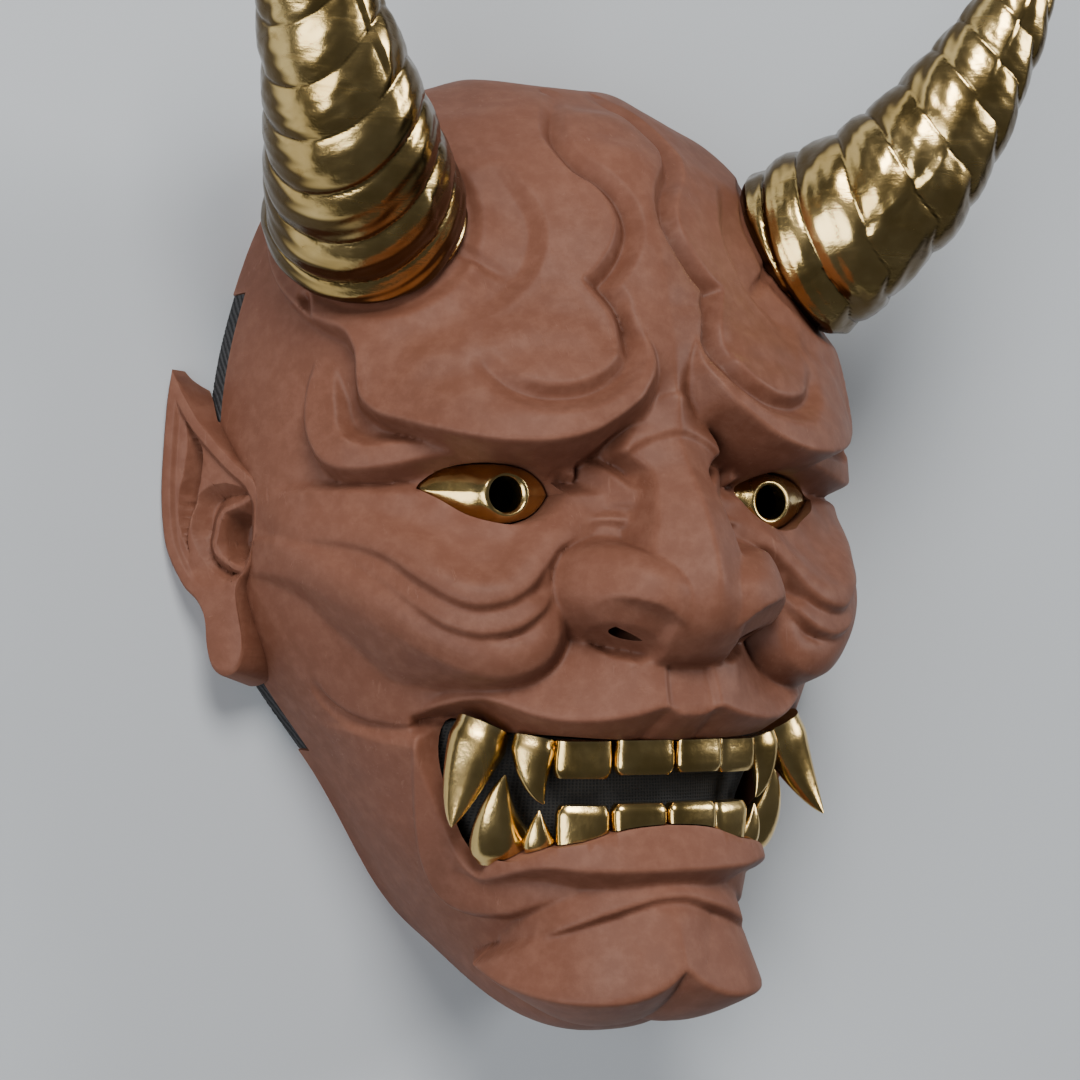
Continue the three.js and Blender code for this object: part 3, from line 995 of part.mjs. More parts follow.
// The pieces, each with its own finish
const finishes = {
  casting: { color: 0x8f6454, roughness: 0.6, metalness: 0 },
  gold: { color: 0xc9a25c, roughness: 0.25, metalness: 1 },
  lining: { color: 0x0c0c0c, roughness: 0.8, metalness: 0 },
  elastic: { color: 0x1b1b1b, roughness: 0.85, metalness: 0 },
};
const mask = new THREE.Group();
function piece(name, body, finish) {
  const mesh = new THREE.Mesh(geometryOf(body), new THREE.MeshStandardMaterial(finishes[finish]));
  mesh.name = name;
  mask.add(mesh);
}
piece('mask', shell, 'casting');
for (const [side, word] of [[-1, 'left'], [1, 'right']]) {
  piece(`horn_${word}`, horn(side), 'gold');
  piece(`eye_${word}`, eye(side), 'gold');
  piece(`side_strap_${word}`, prism(strapShape(side, 0, strapThick, 0), strapLow, strapRise), 'elastic');
}
piece('upper_teeth', upperTeeth(), 'gold');
piece('lower_teeth', lowerTeeth(), 'gold');
piece('mouth_lining', lining(), 'lining');

export default mask;
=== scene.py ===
# An oni mask: a carved red-brown casting with gold horns, eyes and teeth
import bpy
import math
import numpy as np
from mathutils import Matrix, Vector


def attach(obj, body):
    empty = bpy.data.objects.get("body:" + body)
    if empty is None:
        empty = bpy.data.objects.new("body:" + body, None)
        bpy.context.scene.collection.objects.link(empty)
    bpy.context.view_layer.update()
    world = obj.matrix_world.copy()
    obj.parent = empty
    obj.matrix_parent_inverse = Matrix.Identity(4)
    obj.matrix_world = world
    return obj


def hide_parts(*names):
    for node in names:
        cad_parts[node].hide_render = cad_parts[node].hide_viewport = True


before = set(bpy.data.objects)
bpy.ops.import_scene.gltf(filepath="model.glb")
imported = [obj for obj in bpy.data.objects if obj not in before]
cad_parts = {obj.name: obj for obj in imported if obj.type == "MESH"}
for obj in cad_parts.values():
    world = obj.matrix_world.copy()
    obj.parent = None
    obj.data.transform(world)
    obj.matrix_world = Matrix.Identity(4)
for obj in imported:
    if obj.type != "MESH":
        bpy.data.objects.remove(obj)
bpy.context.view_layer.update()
millimetre = 0.001

# Camera: the photograph's own place and lens, in millimetres from the mask's origin
photo = {
    'place': (-322.449, -35.559, 597.576),
    'right': (0.8746, 0.0, 0.4849),
    'up': (-0.0173, 0.9994, 0.0312),
    'back': (-0.4846, -0.0357, 0.8740),
    'focalPixels': 2784.175,
    'imagePixels': 1080,
    'sensor': 36.0,
}


def setCamera():
    lens = bpy.data.cameras.new('photoCamera')
    lens.sensor_width = photo['sensor']
    lens.lens = photo['focalPixels'] / photo['imagePixels'] * photo['sensor']
    lens.clip_start = 0.01
    camera = bpy.data.objects.new('photoCamera', lens)
    bpy.context.collection.objects.link(camera)
    turn = Matrix([photo['right'], photo['up'], photo['back']]).transposed()
    camera.matrix_world = Matrix.Translation(Vector(photo['place']) * millimetre) @ turn.to_4x4()
    bpy.context.scene.camera = camera


setCamera()
print('camera set')


# Small sums
def mix(a, b, t):
    return a + (b - a) * t


def ease(t):
    k = np.clip(t, 0, 1)
    return k * k * (3 - 2 * k)


# rows of arrows, each made one long
def unit(rows):
    return rows / np.linalg.norm(rows, axis=-1, keepdims=True)


# a smooth line through points with any number of values each
def smooth(points, steps=5):
    p = np.array(points, float)
    whole = np.vstack([2 * p[0] - p[1], p, 2 * p[-1] - p[-2]])
    out = []
    for i in range(1, len(p)):
        a, b, c, d = whole[i - 1:i + 3]
        for j in range(steps):
            t = j / steps
            out.append(0.5 * (2 * b + (c - a) * t + (2 * a - 5 * b + 4 * c - d) * t * t
                              + (3 * b - a - 3 * c + d) * t ** 3))
    out.append(p[-1])
    return np.array(out)


# nearest place on a line: signed distance (positive on its left), height there, fraction along
def near(line, u, v):
    best = np.full(u.shape, np.inf)
    side = np.ones(u.shape)
    high = np.zeros(u.shape)
    along = np.zeros(u.shape)
    count = len(line) - 1
    for i in range(count):
        a = line[i]
        b = line[i + 1]
        bu = b[0] - a[0]
        bv = b[1] - a[1]
        pu = u - a[0]
        pv = v - a[1]
        f = np.clip((pu * bu + pv * bv) / (bu * bu + bv * bv), 0, 1)
        d = (pu - f * bu) ** 2 + (pv - f * bv) ** 2
        closer = d < best
        best = np.where(closer, d, best)
        side = np.where(closer, np.where(bu * pv - bv * pu < 0, -1.0, 1.0), side)
        high = np.where(closer, a[2] + f * (b[2] - a[2]), high)
        along = np.where(closer, (i + f) / count, along)
    return side * np.sqrt(best), high, along


# how a form with an edge stands: gently away on the high side, steeply down on the other
def ledge(line, u, v, span, keep, slope, power=1.5):
    d, high, along = near(line, u, v)
    k = np.clip(1 - d / span, 0, 1)
    return np.where(d >= 0, high * (keep + (1 - keep) * k ** power), high + d * slope)


# soft maximum
def join(a, b, r):
    k = np.clip(0.5 + (a - b) / (2 * r), 0, 1)
    return mix(b, a, k) + r * k * (1 - k)


def bump(u, v, cu, cv, ru, rv):
    return np.exp(-((u - cu) / ru) ** 2 - ((v - cv) / rv) ** 2)


# rounded dome of given half sizes and height, falling below zero outside
def dome(u, v, cu, cv, ru, rv, height, turn=0.0, lean=0.0, power=0.5):
    c = math.cos(turn)
    s = math.sin(turn)
    x = ((u - cu) * c + (v - cv) * s) / ru
    y = ((v - cv) * c - (u - cu) * s) / rv
    q = 1 - x * x - y * y
    inside = height * (1 - lean * x) * np.maximum(q, 0) ** power
    return np.where(q > 0, inside, -8 * (np.sqrt(np.maximum(1 - q, 0)) - 1) - 0.01)


# a smooth value along v through [v, value] pairs
def profile(pairs):
    p = smooth(pairs, 8)[::-1]
    return lambda v: np.interp(v, p[:, 0], p[:, 1])


# height at a place, drawn from nearby marks [u, v, h]
def pull(marks, u, v, soft):
    total = np.zeros(u.shape)
    weight = np.zeros(u.shape)
    for mu, mv, mh in marks:
        w = 1 / ((u - mu) ** 2 + (v - mv) ** 2 + soft * soft) ** 2
        total += w * mh
        weight += w
    return total / weight


# a closed outline as a line at height nought
def ringLine(outline):
    return [(a, b, 0) for a, b in [*outline, outline[0]]]


# is a place within a closed outline
def within(outline, u, v):
    odd = np.zeros(u.shape, bool)
    for i in range(len(outline)):
        a = outline[i]
        b = outline[i - 1]
        if a[1] == b[1]:
            continue
        crosses = (a[1] > v) != (b[1] > v)
        odd ^= crosses & (u < (b[0] - a[0]) * (v - a[1]) / (b[1] - a[1]) + a[0])
    return odd


# Arches of the bare face: midline y, midline z, rim half width, rim y, fullness
arches = [
    [101, 0, 0, 101, 2.0], [93, 27, 34, 93, 1.95], [72, 51, 60, 72, 2.0], [38, 66, 75, 36, 2.1],
    [0, 70, 79, 2, 2.1], [-35, 70, 74, -34, 2.25], [-72, 69, 51, -68, 2.3], [-98, 69, 36, -93, 2.5],
    [-121, 57, 25, -105, 2.7], [-124, 29, 16, -110, 2.5], [-112, 0, 0, -112, 2.0]
]

# Carved lines, each [across, up, height], with the high side on the left
faceLines = {
    'browEdge': [
        [6.9, 31.4, 7.6], [5.6, 27.6, 9.6], [5.5, 24.6, 10.8], [6.4, 21.8, 12.4], [8.4, 18.6, 14],
        [11.1, 15.1, 15.2], [16.4, 10.9, 16], [20.6, 8.2, 16.8], [25.7, 6.3, 17], [31, 5.5, 16.8],
        [36.3, 5.7, 16], [42, 6.6, 14.6], [49, 8.4, 12.4], [56, 10.6, 10], [61.5, 12.6, 8.6],
        [65, 16, 7.8], [66, 21, 7.2], [66.3, 27, 6.6], [68.8, 31.8, 5.8], [74, 34.3, 5],
        [80, 38.5, 4.2], [86, 46, 3.4], [90, 56, 2], [92, 66, 0.3]
    ],
    'foldTop': [
        [36, 5.5, 2], [48, 6.6, 3.6], [57, 6.8, 4.6], [64, 6, 5.2], [68.5, 7.4, 5], [71.4, 11, 4.4],
        [73, 17, 3.4], [74, 25, 1]
    ],
    'foldLow': [
        [24.5, 1, 0.6], [32, 4, 2], [42, 4.8, 3.6], [50.5, 3.7, 4.6], [59, 1.6, 5.4], [66.5, 0.5, 5.8],
        [72.5, 1.2, 5.8], [76.6, 4.5, 5.2], [79.4, 11, 4], [79.8, 19, 2.4], [78.5, 27, 0]
    ],
    'cheek1': [
        [14.5, -15, 3.6], [18.5, -13.8, 4.6], [22, -14.2, 5.8], [26.2, -16, 8], [29.4, -20, 10.2],
        [32.8, -24.2, 12.2], [36.5, -26.8, 13.6], [41.2, -27.8, 14], [46, -26.8, 13.6],
        [53.2, -22.4, 11.6], [60.2, -18, 8.2], [67.8, -15.8, 5.8], [76, -15, 3.8], [85, -15.6, 2],
        [92, -17, 0]
    ],
    'cheek2': [
        [27.6, -24, 7], [28.2, -26.2, 9], [30.2, -29.2, 11.6], [34.6, -32.4, 13], [40.4, -33.6, 13.4],
        [45.5, -32.5, 13.2], [50.2, -30.2, 12.4], [58, -25, 9.4], [66.2, -20.2, 6.2], [73.8, -17.9, 4],
        [81, -16.9, 2.6], [90, -17.6, 0.5]
    ],
    'rollLow': [
        [27, -25.4, 7], [25.9, -31, 8.4], [26.3, -35.6, 9.2], [28.4, -39.4, 9.8], [32.4, -41.9, 10.4],
        [37.5, -42.6, 10.6], [42.4, -41.6, 10.6], [47.4, -39.4, 10.2], [55, -35.3, 9.2],
        [63, -31.1, 7.6], [73, -26.4, 5.4], [82, -23.2, 3.2], [92, -21.8, 1.4], [102, -22, 0]
    ],
    'lipTop': [
        [0, -51.4, 15.2], [3, -50.8, 15.6], [5.7, -49.4, 16.2], [11.2, -51.1, 15], [16, -51.9, 13.8],
        [20.2, -52.1, 12.6], [25.2, -51.7, 11], [30, -50.5, 9.4], [33.8, -49, 8.2], [36.7, -48, 7.2],
        [39.8, -47.4, 6], [43, -47.7, 4.6], [46, -48.4, 3.6], [50.5, -49.9, 2.4], [56, -52.4, 1.6],
        [61, -55, 1], [66, -58, 0.4]
    ],
    'jawIn': [
        [0, -86.4, 10.2], [8, -86.4, 10.2], [16, -86, 9.8], [23.5, -84.8, 9], [28.5, -85.2, 7.8],
        [33.8, -86.8, 6.2], [38.4, -88.2, 5], [41.2, -87.2, 4.6], [44.4, -83.4, 4.4], [47, -78.6, 4.2],
        [49.6, -70.6, 4.2], [52.5, -62.6, 4.2], [54.2, -56, 4]
    ],
    'jawOut': [
        [12, -90, 2], [22, -92, 3.4], [34.2, -96, 4], [46, -96, 4.4], [52.6, -92.3, 4.6],
        [55, -85.4, 4.8], [54.8, -78.4, 4.8], [54.3, -70, 4.8], [54.2, -57, 4.6]
    ],
    'chinFold': [
        [8, -88.6, 1], [13.5, -90, 4.4], [18.8, -92, 5.6], [24, -94.6, 5.8], [29.2, -99.4, 5],
        [34.8, -103.2, 4], [42, -106.5, 2], [50, -110, 0]
    ],
    'chinLow': [
        [0, -103.2, 14.4], [1.6, -104.2, 15], [4.2, -106.3, 16], [8.2, -108.2, 17], [12.6, -109, 17],
        [17.4, -109.3, 16], [23.2, -109.2, 14], [29.4, -108.6, 12], [36, -107.6, 9.4], [44, -106.6, 6],
        [52, -105.6, 2.6], [60, -105, 0]
    ],
    'chinTop': [
        [0, -91.6, 7.6], [4, -91.9, 7.4], [7.5, -92.8, 7.1], [12.8, -94.3, 7], [16.1, -95.5, 7],
        [20.1, -97.2, 7], [24.5, -99.5, 6.2], [29, -102.2, 4.8], [34, -105, 3]
    ],
    'boss': [
        [45, 30.6, 0], [40, 33.4, 1.4], [35.4, 35.9, 2.6], [30.4, 40.2, 3.4], [26.5, 44.5, 3.8],
        [23.6, 50.7, 4], [22.4, 56.3, 4], [23.2, 62.4, 3.4], [26.7, 70.5, 1.8], [29.6, 75.6, 0]
    ],
    'scrollIn': [
        [9, 102, 0.6], [14.6, 90, 2.2], [17.2, 80, 3], [15, 71.4, 3.3], [10.6, 65.4, 3.5],
        [8.8, 62, 3.4], [8, 58.1, 3.6], [8.4, 54.5, 3.6], [10.8, 49.5, 3.6], [14.4, 45.2, 3.6],
        [17.4, 43, 3.8], [17.2, 42, 3.8], [16.1, 39.8, 3.8], [14.3, 36.2, 3.8], [13.2, 33.4, 3.8],
        [12.7, 30.3, 3.8], [13.2, 27.2, 3.8], [15, 24.1, 3.8], [18.6, 21, 3.8], [23.2, 18.9, 3.8],
        [28.6, 18.5, 3.4], [33, 20, 2.6], [36.4, 23, 1.4], [38, 26.5, 0.4]
    ],
    'wingFold': [
        [24.6, -26.2, 13], [22.7, -26.2, 15.4], [20.4, -26.3, 17.4], [17.3, -26.6, 19.2],
        [13.3, -27.7, 20.6], [9.4, -29.8, 20.8], [6.2, -32.8, 19.6], [3.4, -36.4, 17]
    ],
    'wrinkleUpper': [
        [26, -9.8, 0], [21.8, -7.5, 1.2], [16.8, -6.2, 1.5], [12.6, -6.2, 1.5], [8.6, -6.8, 1.2]
    ],
    'wrinkleLower': [
        [26.4, -12.6, 0], [21.9, -10.5, 1.2], [16.9, -9.6, 1.6], [12.8, -10, 1.6], [8.8, -11.2, 1.2]
    ],
    'crowUpper': [[80, -0.5, 0], [82.5, -4.5, 0.5], [84, -8.5, 0]],
    'crowLower': [[80, -9, 0], [74.5, -6, 0.6], [69, -3.8, 0.8], [63.5, -3, 0.8], [58.5, -3, 0.6]],
    'hornNotch': [[45.5, 54.4, 3], [38.5, 49, 1.8], [31.6, 43.8, 0]],
    'sideNotch': [[78, 41, 2.6], [77.4, 36, 2], [77, 31, 0]],
    'smileHook': [
        [54, -56.4, 1.2], [61.8, -56.2, 1.5], [69.2, -55.2, 1.5], [75.5, -53.1, 1.4], [80, -50.2, 1.2],
        [83.6, -45.6, 0]
    ],
}
cut = {name: smooth(points) for name, points in faceLines.items()}

browField = [
    [0, 100, 2], [0, 85, 4.6], [0, 72, 6.8], [0, 60, 8.8], [0, 50, 9.6], [0, 41, 9.4], [0, 34, 9.2],
    [3.2, 61.3, 7], [3, 54, 8], [5.4, 48, 8], [9.9, 41.1, 7], [7.4, 35, 8], [7, 29, 9],
    [9, 22.5, 11.6], [15, 71, 4.4], [8.8, 62.1, 5.8], [8.2, 56, 5.8], [10.8, 49.5, 5.4],
    [14.4, 45.2, 5], [17.2, 43, 4.4], [14.3, 36.2, 5.4], [12.8, 30.3, 7.6], [15.1, 24.3, 10.8],
    [19, 20.5, 12.4], [25, 18.5, 12.6], [29.5, 19, 12], [23, 28, 8.4], [23, 36, 5.2], [32, 28, 7.6],
    [40, 24, 8.4], [40, 16, 11.8], [50, 22, 8.6], [55, 32, 5], [48, 34, 3.6], [26.7, 70.5, 3.2],
    [22.6, 60, 3.4], [23.6, 50.7, 3], [26.5, 44.5, 2.4], [30.4, 40.2, 2.2], [36, 36, 2.6],
    [36, 48, 1.8], [34, 60, 2.2], [64, 45, 4], [75, 55, 3.6], [50, 60, 2.6], [30, 82, 2],
    [60, 80, 1.5], [85, 75, 1], [16, 88, 3], [30, 100, 1], [60, 95, 0.5], [0, 120, 0], [40, 115, 0],
    [100, 80, 0], [105, 60, 0]
]
cheekField = [
    [20, -8, 1.5], [26, -9, 1.5], [31, -13, 3.6], [37, -14, 3.2], [44, -13, 3.2], [51, -10, 3],
    [58, -8, 2.6], [66, -8, 2.6], [76, -7, 1.8], [86, -8, 0.8], [98, -12, 0], [37, -19, 8],
    [44, -19, 8], [51, -17, 7], [24, -2, -1], [33, -7, -1], [44, -7, -1], [54, -3, -0.5], [64, 0, 0],
    [76, 2, 0], [90, 0, -0.5]
]
bridge = profile([
    [42, 5], [36, 8.4], [31, 9.1], [26, 9.8], [20, 10.3], [15, 10.4], [11, 10.5], [8, 11.3], [4, 13.3],
    [-0.7, 15.6], [-7, 19.4], [-12.5, 22.5], [-18.6, 25.2], [-24, 26.4], [-29, 25.7], [-33.5, 23.4],
    [-37.2, 19.8], [-39.6, 16.8], [-41.2, 12], [-42.4, 4], [-43, 0]
])
noseHalf = profile([
    [36, 9], [26, 6.5], [20, 5.6], [16, 5.8], [14, 6.6], [11, 9], [7.6, 11], [5, 11.4], [2.4, 8.4],
    [0, 6.9], [-6, 7.7], [-10, 8.4], [-15, 9.8], [-19, 9.6], [-24, 8.2], [-30, 7.6], [-36, 8],
    [-41, 7.4], [-46, 6]
])
noseSlope = profile([
    [36, 0.1], [30, 0.12], [26, 0.26], [22, 0.4], [18, 0.7], [15, 0.7], [12, 0.5], [9, 0.36],
    [6, 0.42], [3, 0.55], [0, 0.64], [-6, 0.74], [-10, 0.78], [-15, 0.84], [-19, 0.82], [-21, 0.78],
    [-24, 0.7], [-26, 0.6], [-30, 0.5], [-34, 0.48], [-38, 0.52], [-42, 0.5]
])
noseRound = profile([[20, 0.4], [0, 0.5], [-12, 0.8], [-19, 1.2], [-25, 1.8], [-32, 3.5], [-40, 6]])
browMarks = [*cut['browEdge'][::3], *browField]
cheekMarks = [*cut['cheek1'][::3], *cheekField]
browPlate = [*cut['browEdge'], (140, 66, 0), (140, 150, 0), (-9, 150, 0), (-9, 31.4, 0)]
flapOutline = np.array(smooth([
    [27, -8.8], [23.5, -7.2], [19.5, -5.6], [17.2, -4.3], [17.8, -2.6], [20.4, 0.8], [19.4, 2.9],
    [16, 2.6], [13.1, 0.6], [10.5, -2.3], [8.8, -3.4], [8, -5.4], [8, -9], [8.6, -13], [9.6, -16],
    [15, -15.6], [22, -14.4], [28, -14]
], 3))
flapEdge = ringLine(flapOutline)
hornSeat = smooth([
    [77, 56], [73.5, 64], [68, 69], [62, 72.6], [55.5, 75], [48.5, 75.5], [42, 72.5], [38.6, 66],
    [38.6, 58.5], [41.5, 51], [45.6, 44.6], [51, 40.4], [57.5, 37.6], [65.5, 37.4], [73, 41],
    [77, 48.5]
], 2)
seatEdge = ringLine(hornSeat)
mouthFloor = -7.0  # how far the face sinks behind the lips


def groove(line, wide, u, v):
    d, high, along = near(line, u, v)
    return -high * np.maximum(0, 1 - (np.abs(d) / wide) ** 1.5)


# the wing of the nose: a long round form, fuller towards the bridge
def noseWing(u, v):
    c = math.cos(0.425)
    s = math.sin(0.425)
    x = (u - 9.4) * c + (v + 26.6) * s
    y = ((v + 26.6) * c - (u - 9.4) * s) / 15
    q = 1 - (x / np.where(x > 0, 24.4, 35)) ** 2 - np.abs(y) ** 3
    return np.where(q > 0, 24.6 * np.maximum(q, 0) ** 1.55, -6)


# height of the carving above the bare arches, one half of the face
def carving(u, v):
    h = 3 * bump(u, v, 55, -76, 24, 27) - 2.4 * bump(u, v, 70, -5, 14, 9)
    h -= 12 * bump(u, v, 24, -3.4, 8.5, 7.5) + 3 * bump(u, v, 40, -3, 16, 7)
    h += groove(cut['crowUpper'], 1.1, u, v) + groove(cut['crowLower'], 1.4, u, v)
    # eyelid band
    fold = ledge(cut['foldLow'], u, v, 30, 1, 2.4)
    d, high, along = near(cut['foldTop'], u, v)
    band = np.where(d > 0, np.minimum(fold, high - np.minimum(3.6, d * 1.5)), fold)
    h = np.where((u > 20) & (v > -6), np.maximum(h, band), h)
    # flap between the nose and the corner of the eye, with two folds below it
    flap = np.abs(near(flapEdge, u, v)[0])
    inner = 0.8 * np.maximum(0, 1 - flap / 2.5) ** 2
    rim = np.where(within(flapOutline, u, v), inner, 0.8 + 1.9 * flap)
    lobe = mix(17.4 - u, 10.6 - 0.3 * u, ease((-5 - v) / 5)) - rim
    for name, wide in (('wrinkleUpper', 3), ('wrinkleLower', 3.6)):
        d, high, along = near(cut[name], u, v)
        lobe -= np.where(d > 0, high * np.clip(d / 0.9, 0, 1) * np.maximum(0, 1 - (d - 0.9) / wide), 0)
    h = join(h, lobe, 0.5)
    # forehead and brow
    edge, edgeHigh, along = near(cut['browEdge'], u, v)
    plate = mix(edgeHigh, pull(browMarks, u, v, 5.5), ease(np.abs(edge) / 13))
    inside = within(browPlate, u, v)
    seat = np.where(within(hornSeat, u, v), 0, np.abs(near(seatEdge, u, v)[0]))
    boss, bossHigh, along = near(cut['boss'], u, v)
    bossFade = ease(bossHigh / 1.5)
    raised = np.where(boss >= 0, 0.12 * bossHigh * (1 - ease(boss / 7)),
                      bossHigh * (0.12 - 0.7 * np.minimum(1, -boss / 3.5) + 0.58 * ease((-boss - 4) / 13)))
    scroll, scrollHigh, along = near(cut['scrollIn'], u, v)
    away = -scroll
    channel = np.maximum(0, np.where(away < 3.2, away / 3.2, 1 - (away - 3.2) / 2.9))
    carved = (plate + 0.5 * np.maximum(0, 1 - np.abs(edge) / 3) * ease(edgeHigh / 4) + raised * bossFade
              - np.where(away > 0, 1.05 * scrollHigh * channel, 0)
              + 0.12 * scrollHigh * np.maximum(0, 1 - np.abs(scroll) / 3)
              + groove(cut['hornNotch'], 1.9, u, v) + groove(cut['sideNotch'], 1.3, u, v)
              - 2 * (1 - ease(seat / 3.8)))
    wall = mix(1.6, 3.2, ease((u - 6) / 8))
    h = np.maximum(h, np.where(inside, carved, plate - wall * np.abs(edge)))
    # cheek in three terraces
    d, high, along = near(cut['cheek1'], u, v)
    shelf = mix(high, pull(cheekMarks, u, v, 5), ease(d / 9)) - np.maximum(0, v + 4) * 1.2
    terrace1 = np.where(d >= 0, shelf, high + d * 1.8)
    d, high, along = near(cut['cheek2'], u, v)
    terrace2 = np.where(d >= 0, high - 0.16 * d - 0.03 * d * d, high + d * 1.8)
    d, high, along = near(cut['rollLow'], u, v)
    swell = high + 1.6 * ease((96 - u) / 30) * np.sin(np.clip(d / 9, 0, 1) * math.pi)
    swell -= np.maximum(0, d - 7) * 0.8
    terrace3 = np.where(d >= 0, swell, high + d * mix(1.9, 0.75, ease((u - 36) / 26)))
    h = np.maximum.reduce([h, terrace1, terrace2, terrace3])
    # muzzle and upper lip, with the philtrum let in
    lip, high, along = near(cut['lipTop'], u, v)
    bow = (u < 5.7) & (lip > 0)
    lipU = np.where(bow, 5.7, u)
    lipV = np.where(bow, np.maximum(v, -49.3), v)
    muzzle = ledge(cut['lipTop'], lipU, lipV, 34, 0.3, 1.5, 1.1)
    muzzle -= np.maximum(0, v + 26) * 0.6
    muzzle -= 0.033 * np.maximum(0, u - 12) * np.clip(lip, 0, 16)
    philtrum = 5 - 0.08 * (v + 42.5)
    dip = 1.3 * np.clip((philtrum - u) / 0.8 + 0.5, 0, 1)
    muzzle = muzzle - np.where((u < 8) & (v < -36) & (lip > 0), dip, 0)
    jaw, jawHigh, jawAlong = near(cut['jawIn'], u, v)
    outer, outerHigh, along = near(cut['jawOut'], u, v)
    sideways = ease((jawAlong - 0.5) / 0.16)
    mouth = (v < -56) & (jaw > 0)
    h = np.where(mouth | ((lip < 0) & (v < -45) & (v >= -56) & (u < 56)), mouthFloor, h)
    h = np.maximum(h, muzzle)
    outward = np.where(outer >= 0, outerHigh - 0.1 * outer, outerHigh + 1.3 * outer)
    rise = jawHigh + mix(1.7, 0.12, sideways) * jaw
    lower = np.where(mouth, jawHigh - mix(0.42, 2.4, sideways) * jaw, np.maximum(outward, rise))
    h = np.where(v < -56, np.maximum(h, lower), h)
    h += groove(cut['smileHook'], 1.7, u, v)
    # chin
    fold, foldHigh, along = near(cut['chinFold'], u, v)
    pad = ledge(cut['chinLow'], u, v, 16.5, 0.06, 1.05, 1)
    pad += 0.9 * np.maximum(0, 1 - u / 7) * ease((-92 - v) / 4)
    top, topHigh, along = near(cut['chinTop'], u, v)
    above = topHigh - 0.75 * top
    above = np.where(fold >= 0, np.minimum(above, foldHigh - 0.9 * fold), above)
    chin = np.where(top >= 0, above, np.maximum(pad, topHigh - 2.4 * ease(-top / 2) + 0.4 * top))
    h = np.where(v < -80, np.maximum(h, chin), h)
    # nose
    r = noseRound(v)
    across = np.sqrt(u * u + r * r) - r
    nose = bridge(v) - noseSlope(v) * across - np.maximum(0, u - noseHalf(v)) * 3
    nose -= 1.1 * ease((9.7 - 0.036 * u * u - v) / 1.1) * ease((v + 8) / 12)
    nose -= 0.9 * ease((v - 17.3 + 0.075 * u * u) / 1.1) * ease((28 - v) / 8)
    h = np.where((v > -46) & (v < 41), join(h, nose, 0.8), h)
    side = noseWing(u, v) - 2.5 * np.maximum(0, v + 15.7 + 0.028 * (u - 17) ** 2)
    under, high, along = near(cut['wingFold'], u, v)
    side = np.where(under > 0, np.minimum(side, high + 0.6 - 0.85 * under), side)
    return np.maximum(h, side) - 4 * np.maximum(0, dome(u, v, 14.2, -36, 6.9, 2.9, 1, 0.416))


# The bare surface: arches from crown to chin, measured with a tape
midRows = smooth(arches, 40)
midStep = np.hypot(np.diff(midRows[:, 0]), np.diff(midRows[:, 1]))
midLength = np.concatenate([[0], np.cumsum(midStep)])
eyeRow = np.argmin(np.where(midRows[:, 1] > 40, np.abs(midRows[:, 0]), 999))
topV = midLength[eyeRow]
bottomV = midLength[eyeRow] - midLength[-1]
archSteps = 120


def rowsAt(v):
    s = np.clip(topV - np.asarray(v, float), 0, midLength[-1])
    return np.stack([np.interp(s, midLength, midRows[:, k]) for k in range(5)], -1)


# points and tape lengths round one arch
def archLine(row):
    a = np.linspace(0, math.pi / 2, archSteps + 1)
    c = np.maximum(0, np.cos(a)) ** (2 / row[4])
    s = np.maximum(0, np.sin(a)) ** (2 / row[4])
    line = np.stack([row[2] * s, row[0] * c + row[3] * (1 - c), row[1] * c], -1)
    steps = np.linalg.norm(np.diff(line, axis=0), axis=1)
    return line, np.concatenate([[0], np.cumsum(steps)])


def onArch(row, u):
    line, length = archLine(row)
    p = np.stack([np.interp(np.abs(u), length, line[:, k]) for k in range(3)], -1)
    p[..., 0] *= np.where(u < 0, -1, 1)
    return p


# places on the face for lists of u and v, lifted by h
def facePlaces(u, v):
    at = lambda uu, vv: np.array([onArch(row, x) for row, x in zip(rowsAt(vv), uu)])
    u = np.asarray(u, float)
    v = np.asarray(v, float)
    across = at(u + 1, v) - at(u - 1, v)
    up = at(u, v + 1) - at(u, v - 1)
    across = unit(across)
    up = unit(up)
    return at(u, v), across, up, unit(np.cross(across, up))


def facePoints(u, v, h):
    p, across, up, out = facePlaces(u, v)
    return p + out * np.broadcast_to(np.asarray(h, float), (len(p),))[:, None]


def facePoint(u, v, h=0.0):
    return facePoints([u], [v], h)[0]


# Meshes
def makePiece(name, points, faces):
    mesh = bpy.data.meshes.new(name)
    mesh.from_pydata((np.asarray(points) * millimetre).tolist(), [], [tuple(f) for f in faces])
    mesh.update()
    piece = bpy.data.objects.new(name, mesh)
    bpy.context.collection.objects.link(piece)
    return piece


# quads between rows of a grid, with the columns joined round where asked
def gridFaces(rows, columns, closed=False):
    j, i = np.meshgrid(np.arange(rows - 1), np.arange(columns if closed else columns - 1), indexing='ij')
    a = j * columns + i
    b = j * columns + (i + 1) % columns
    return np.stack([a, b, b + columns, a + columns], -1).reshape(-1, 4)


# a closed solid from rings of points, capped by fans at both ends
def ringSolid(name, rings):
    rings = np.asarray(rings, float)
    count, sides = rings.shape[:2]
    points = np.vstack([rings.reshape(-1, 3), rings[0].mean(0), rings[-1].mean(0)])
    faces = gridFaces(count, sides, True).tolist()
    first = count * sides
    end = (count - 1) * sides
    for i in range(sides):
        n = (i + 1) % sides
        faces.append([n, i, first])
        faces.append([end + i, end + n, first + 1])
    piece = makePiece(name, points, faces)
    turnOutward(piece)
    return piece


def vertexValues(mesh, key):
    values = np.empty(len(mesh.vertices) * 3)
    mesh.vertices.foreach_get(key, values)
    return values.reshape(-1, 3)


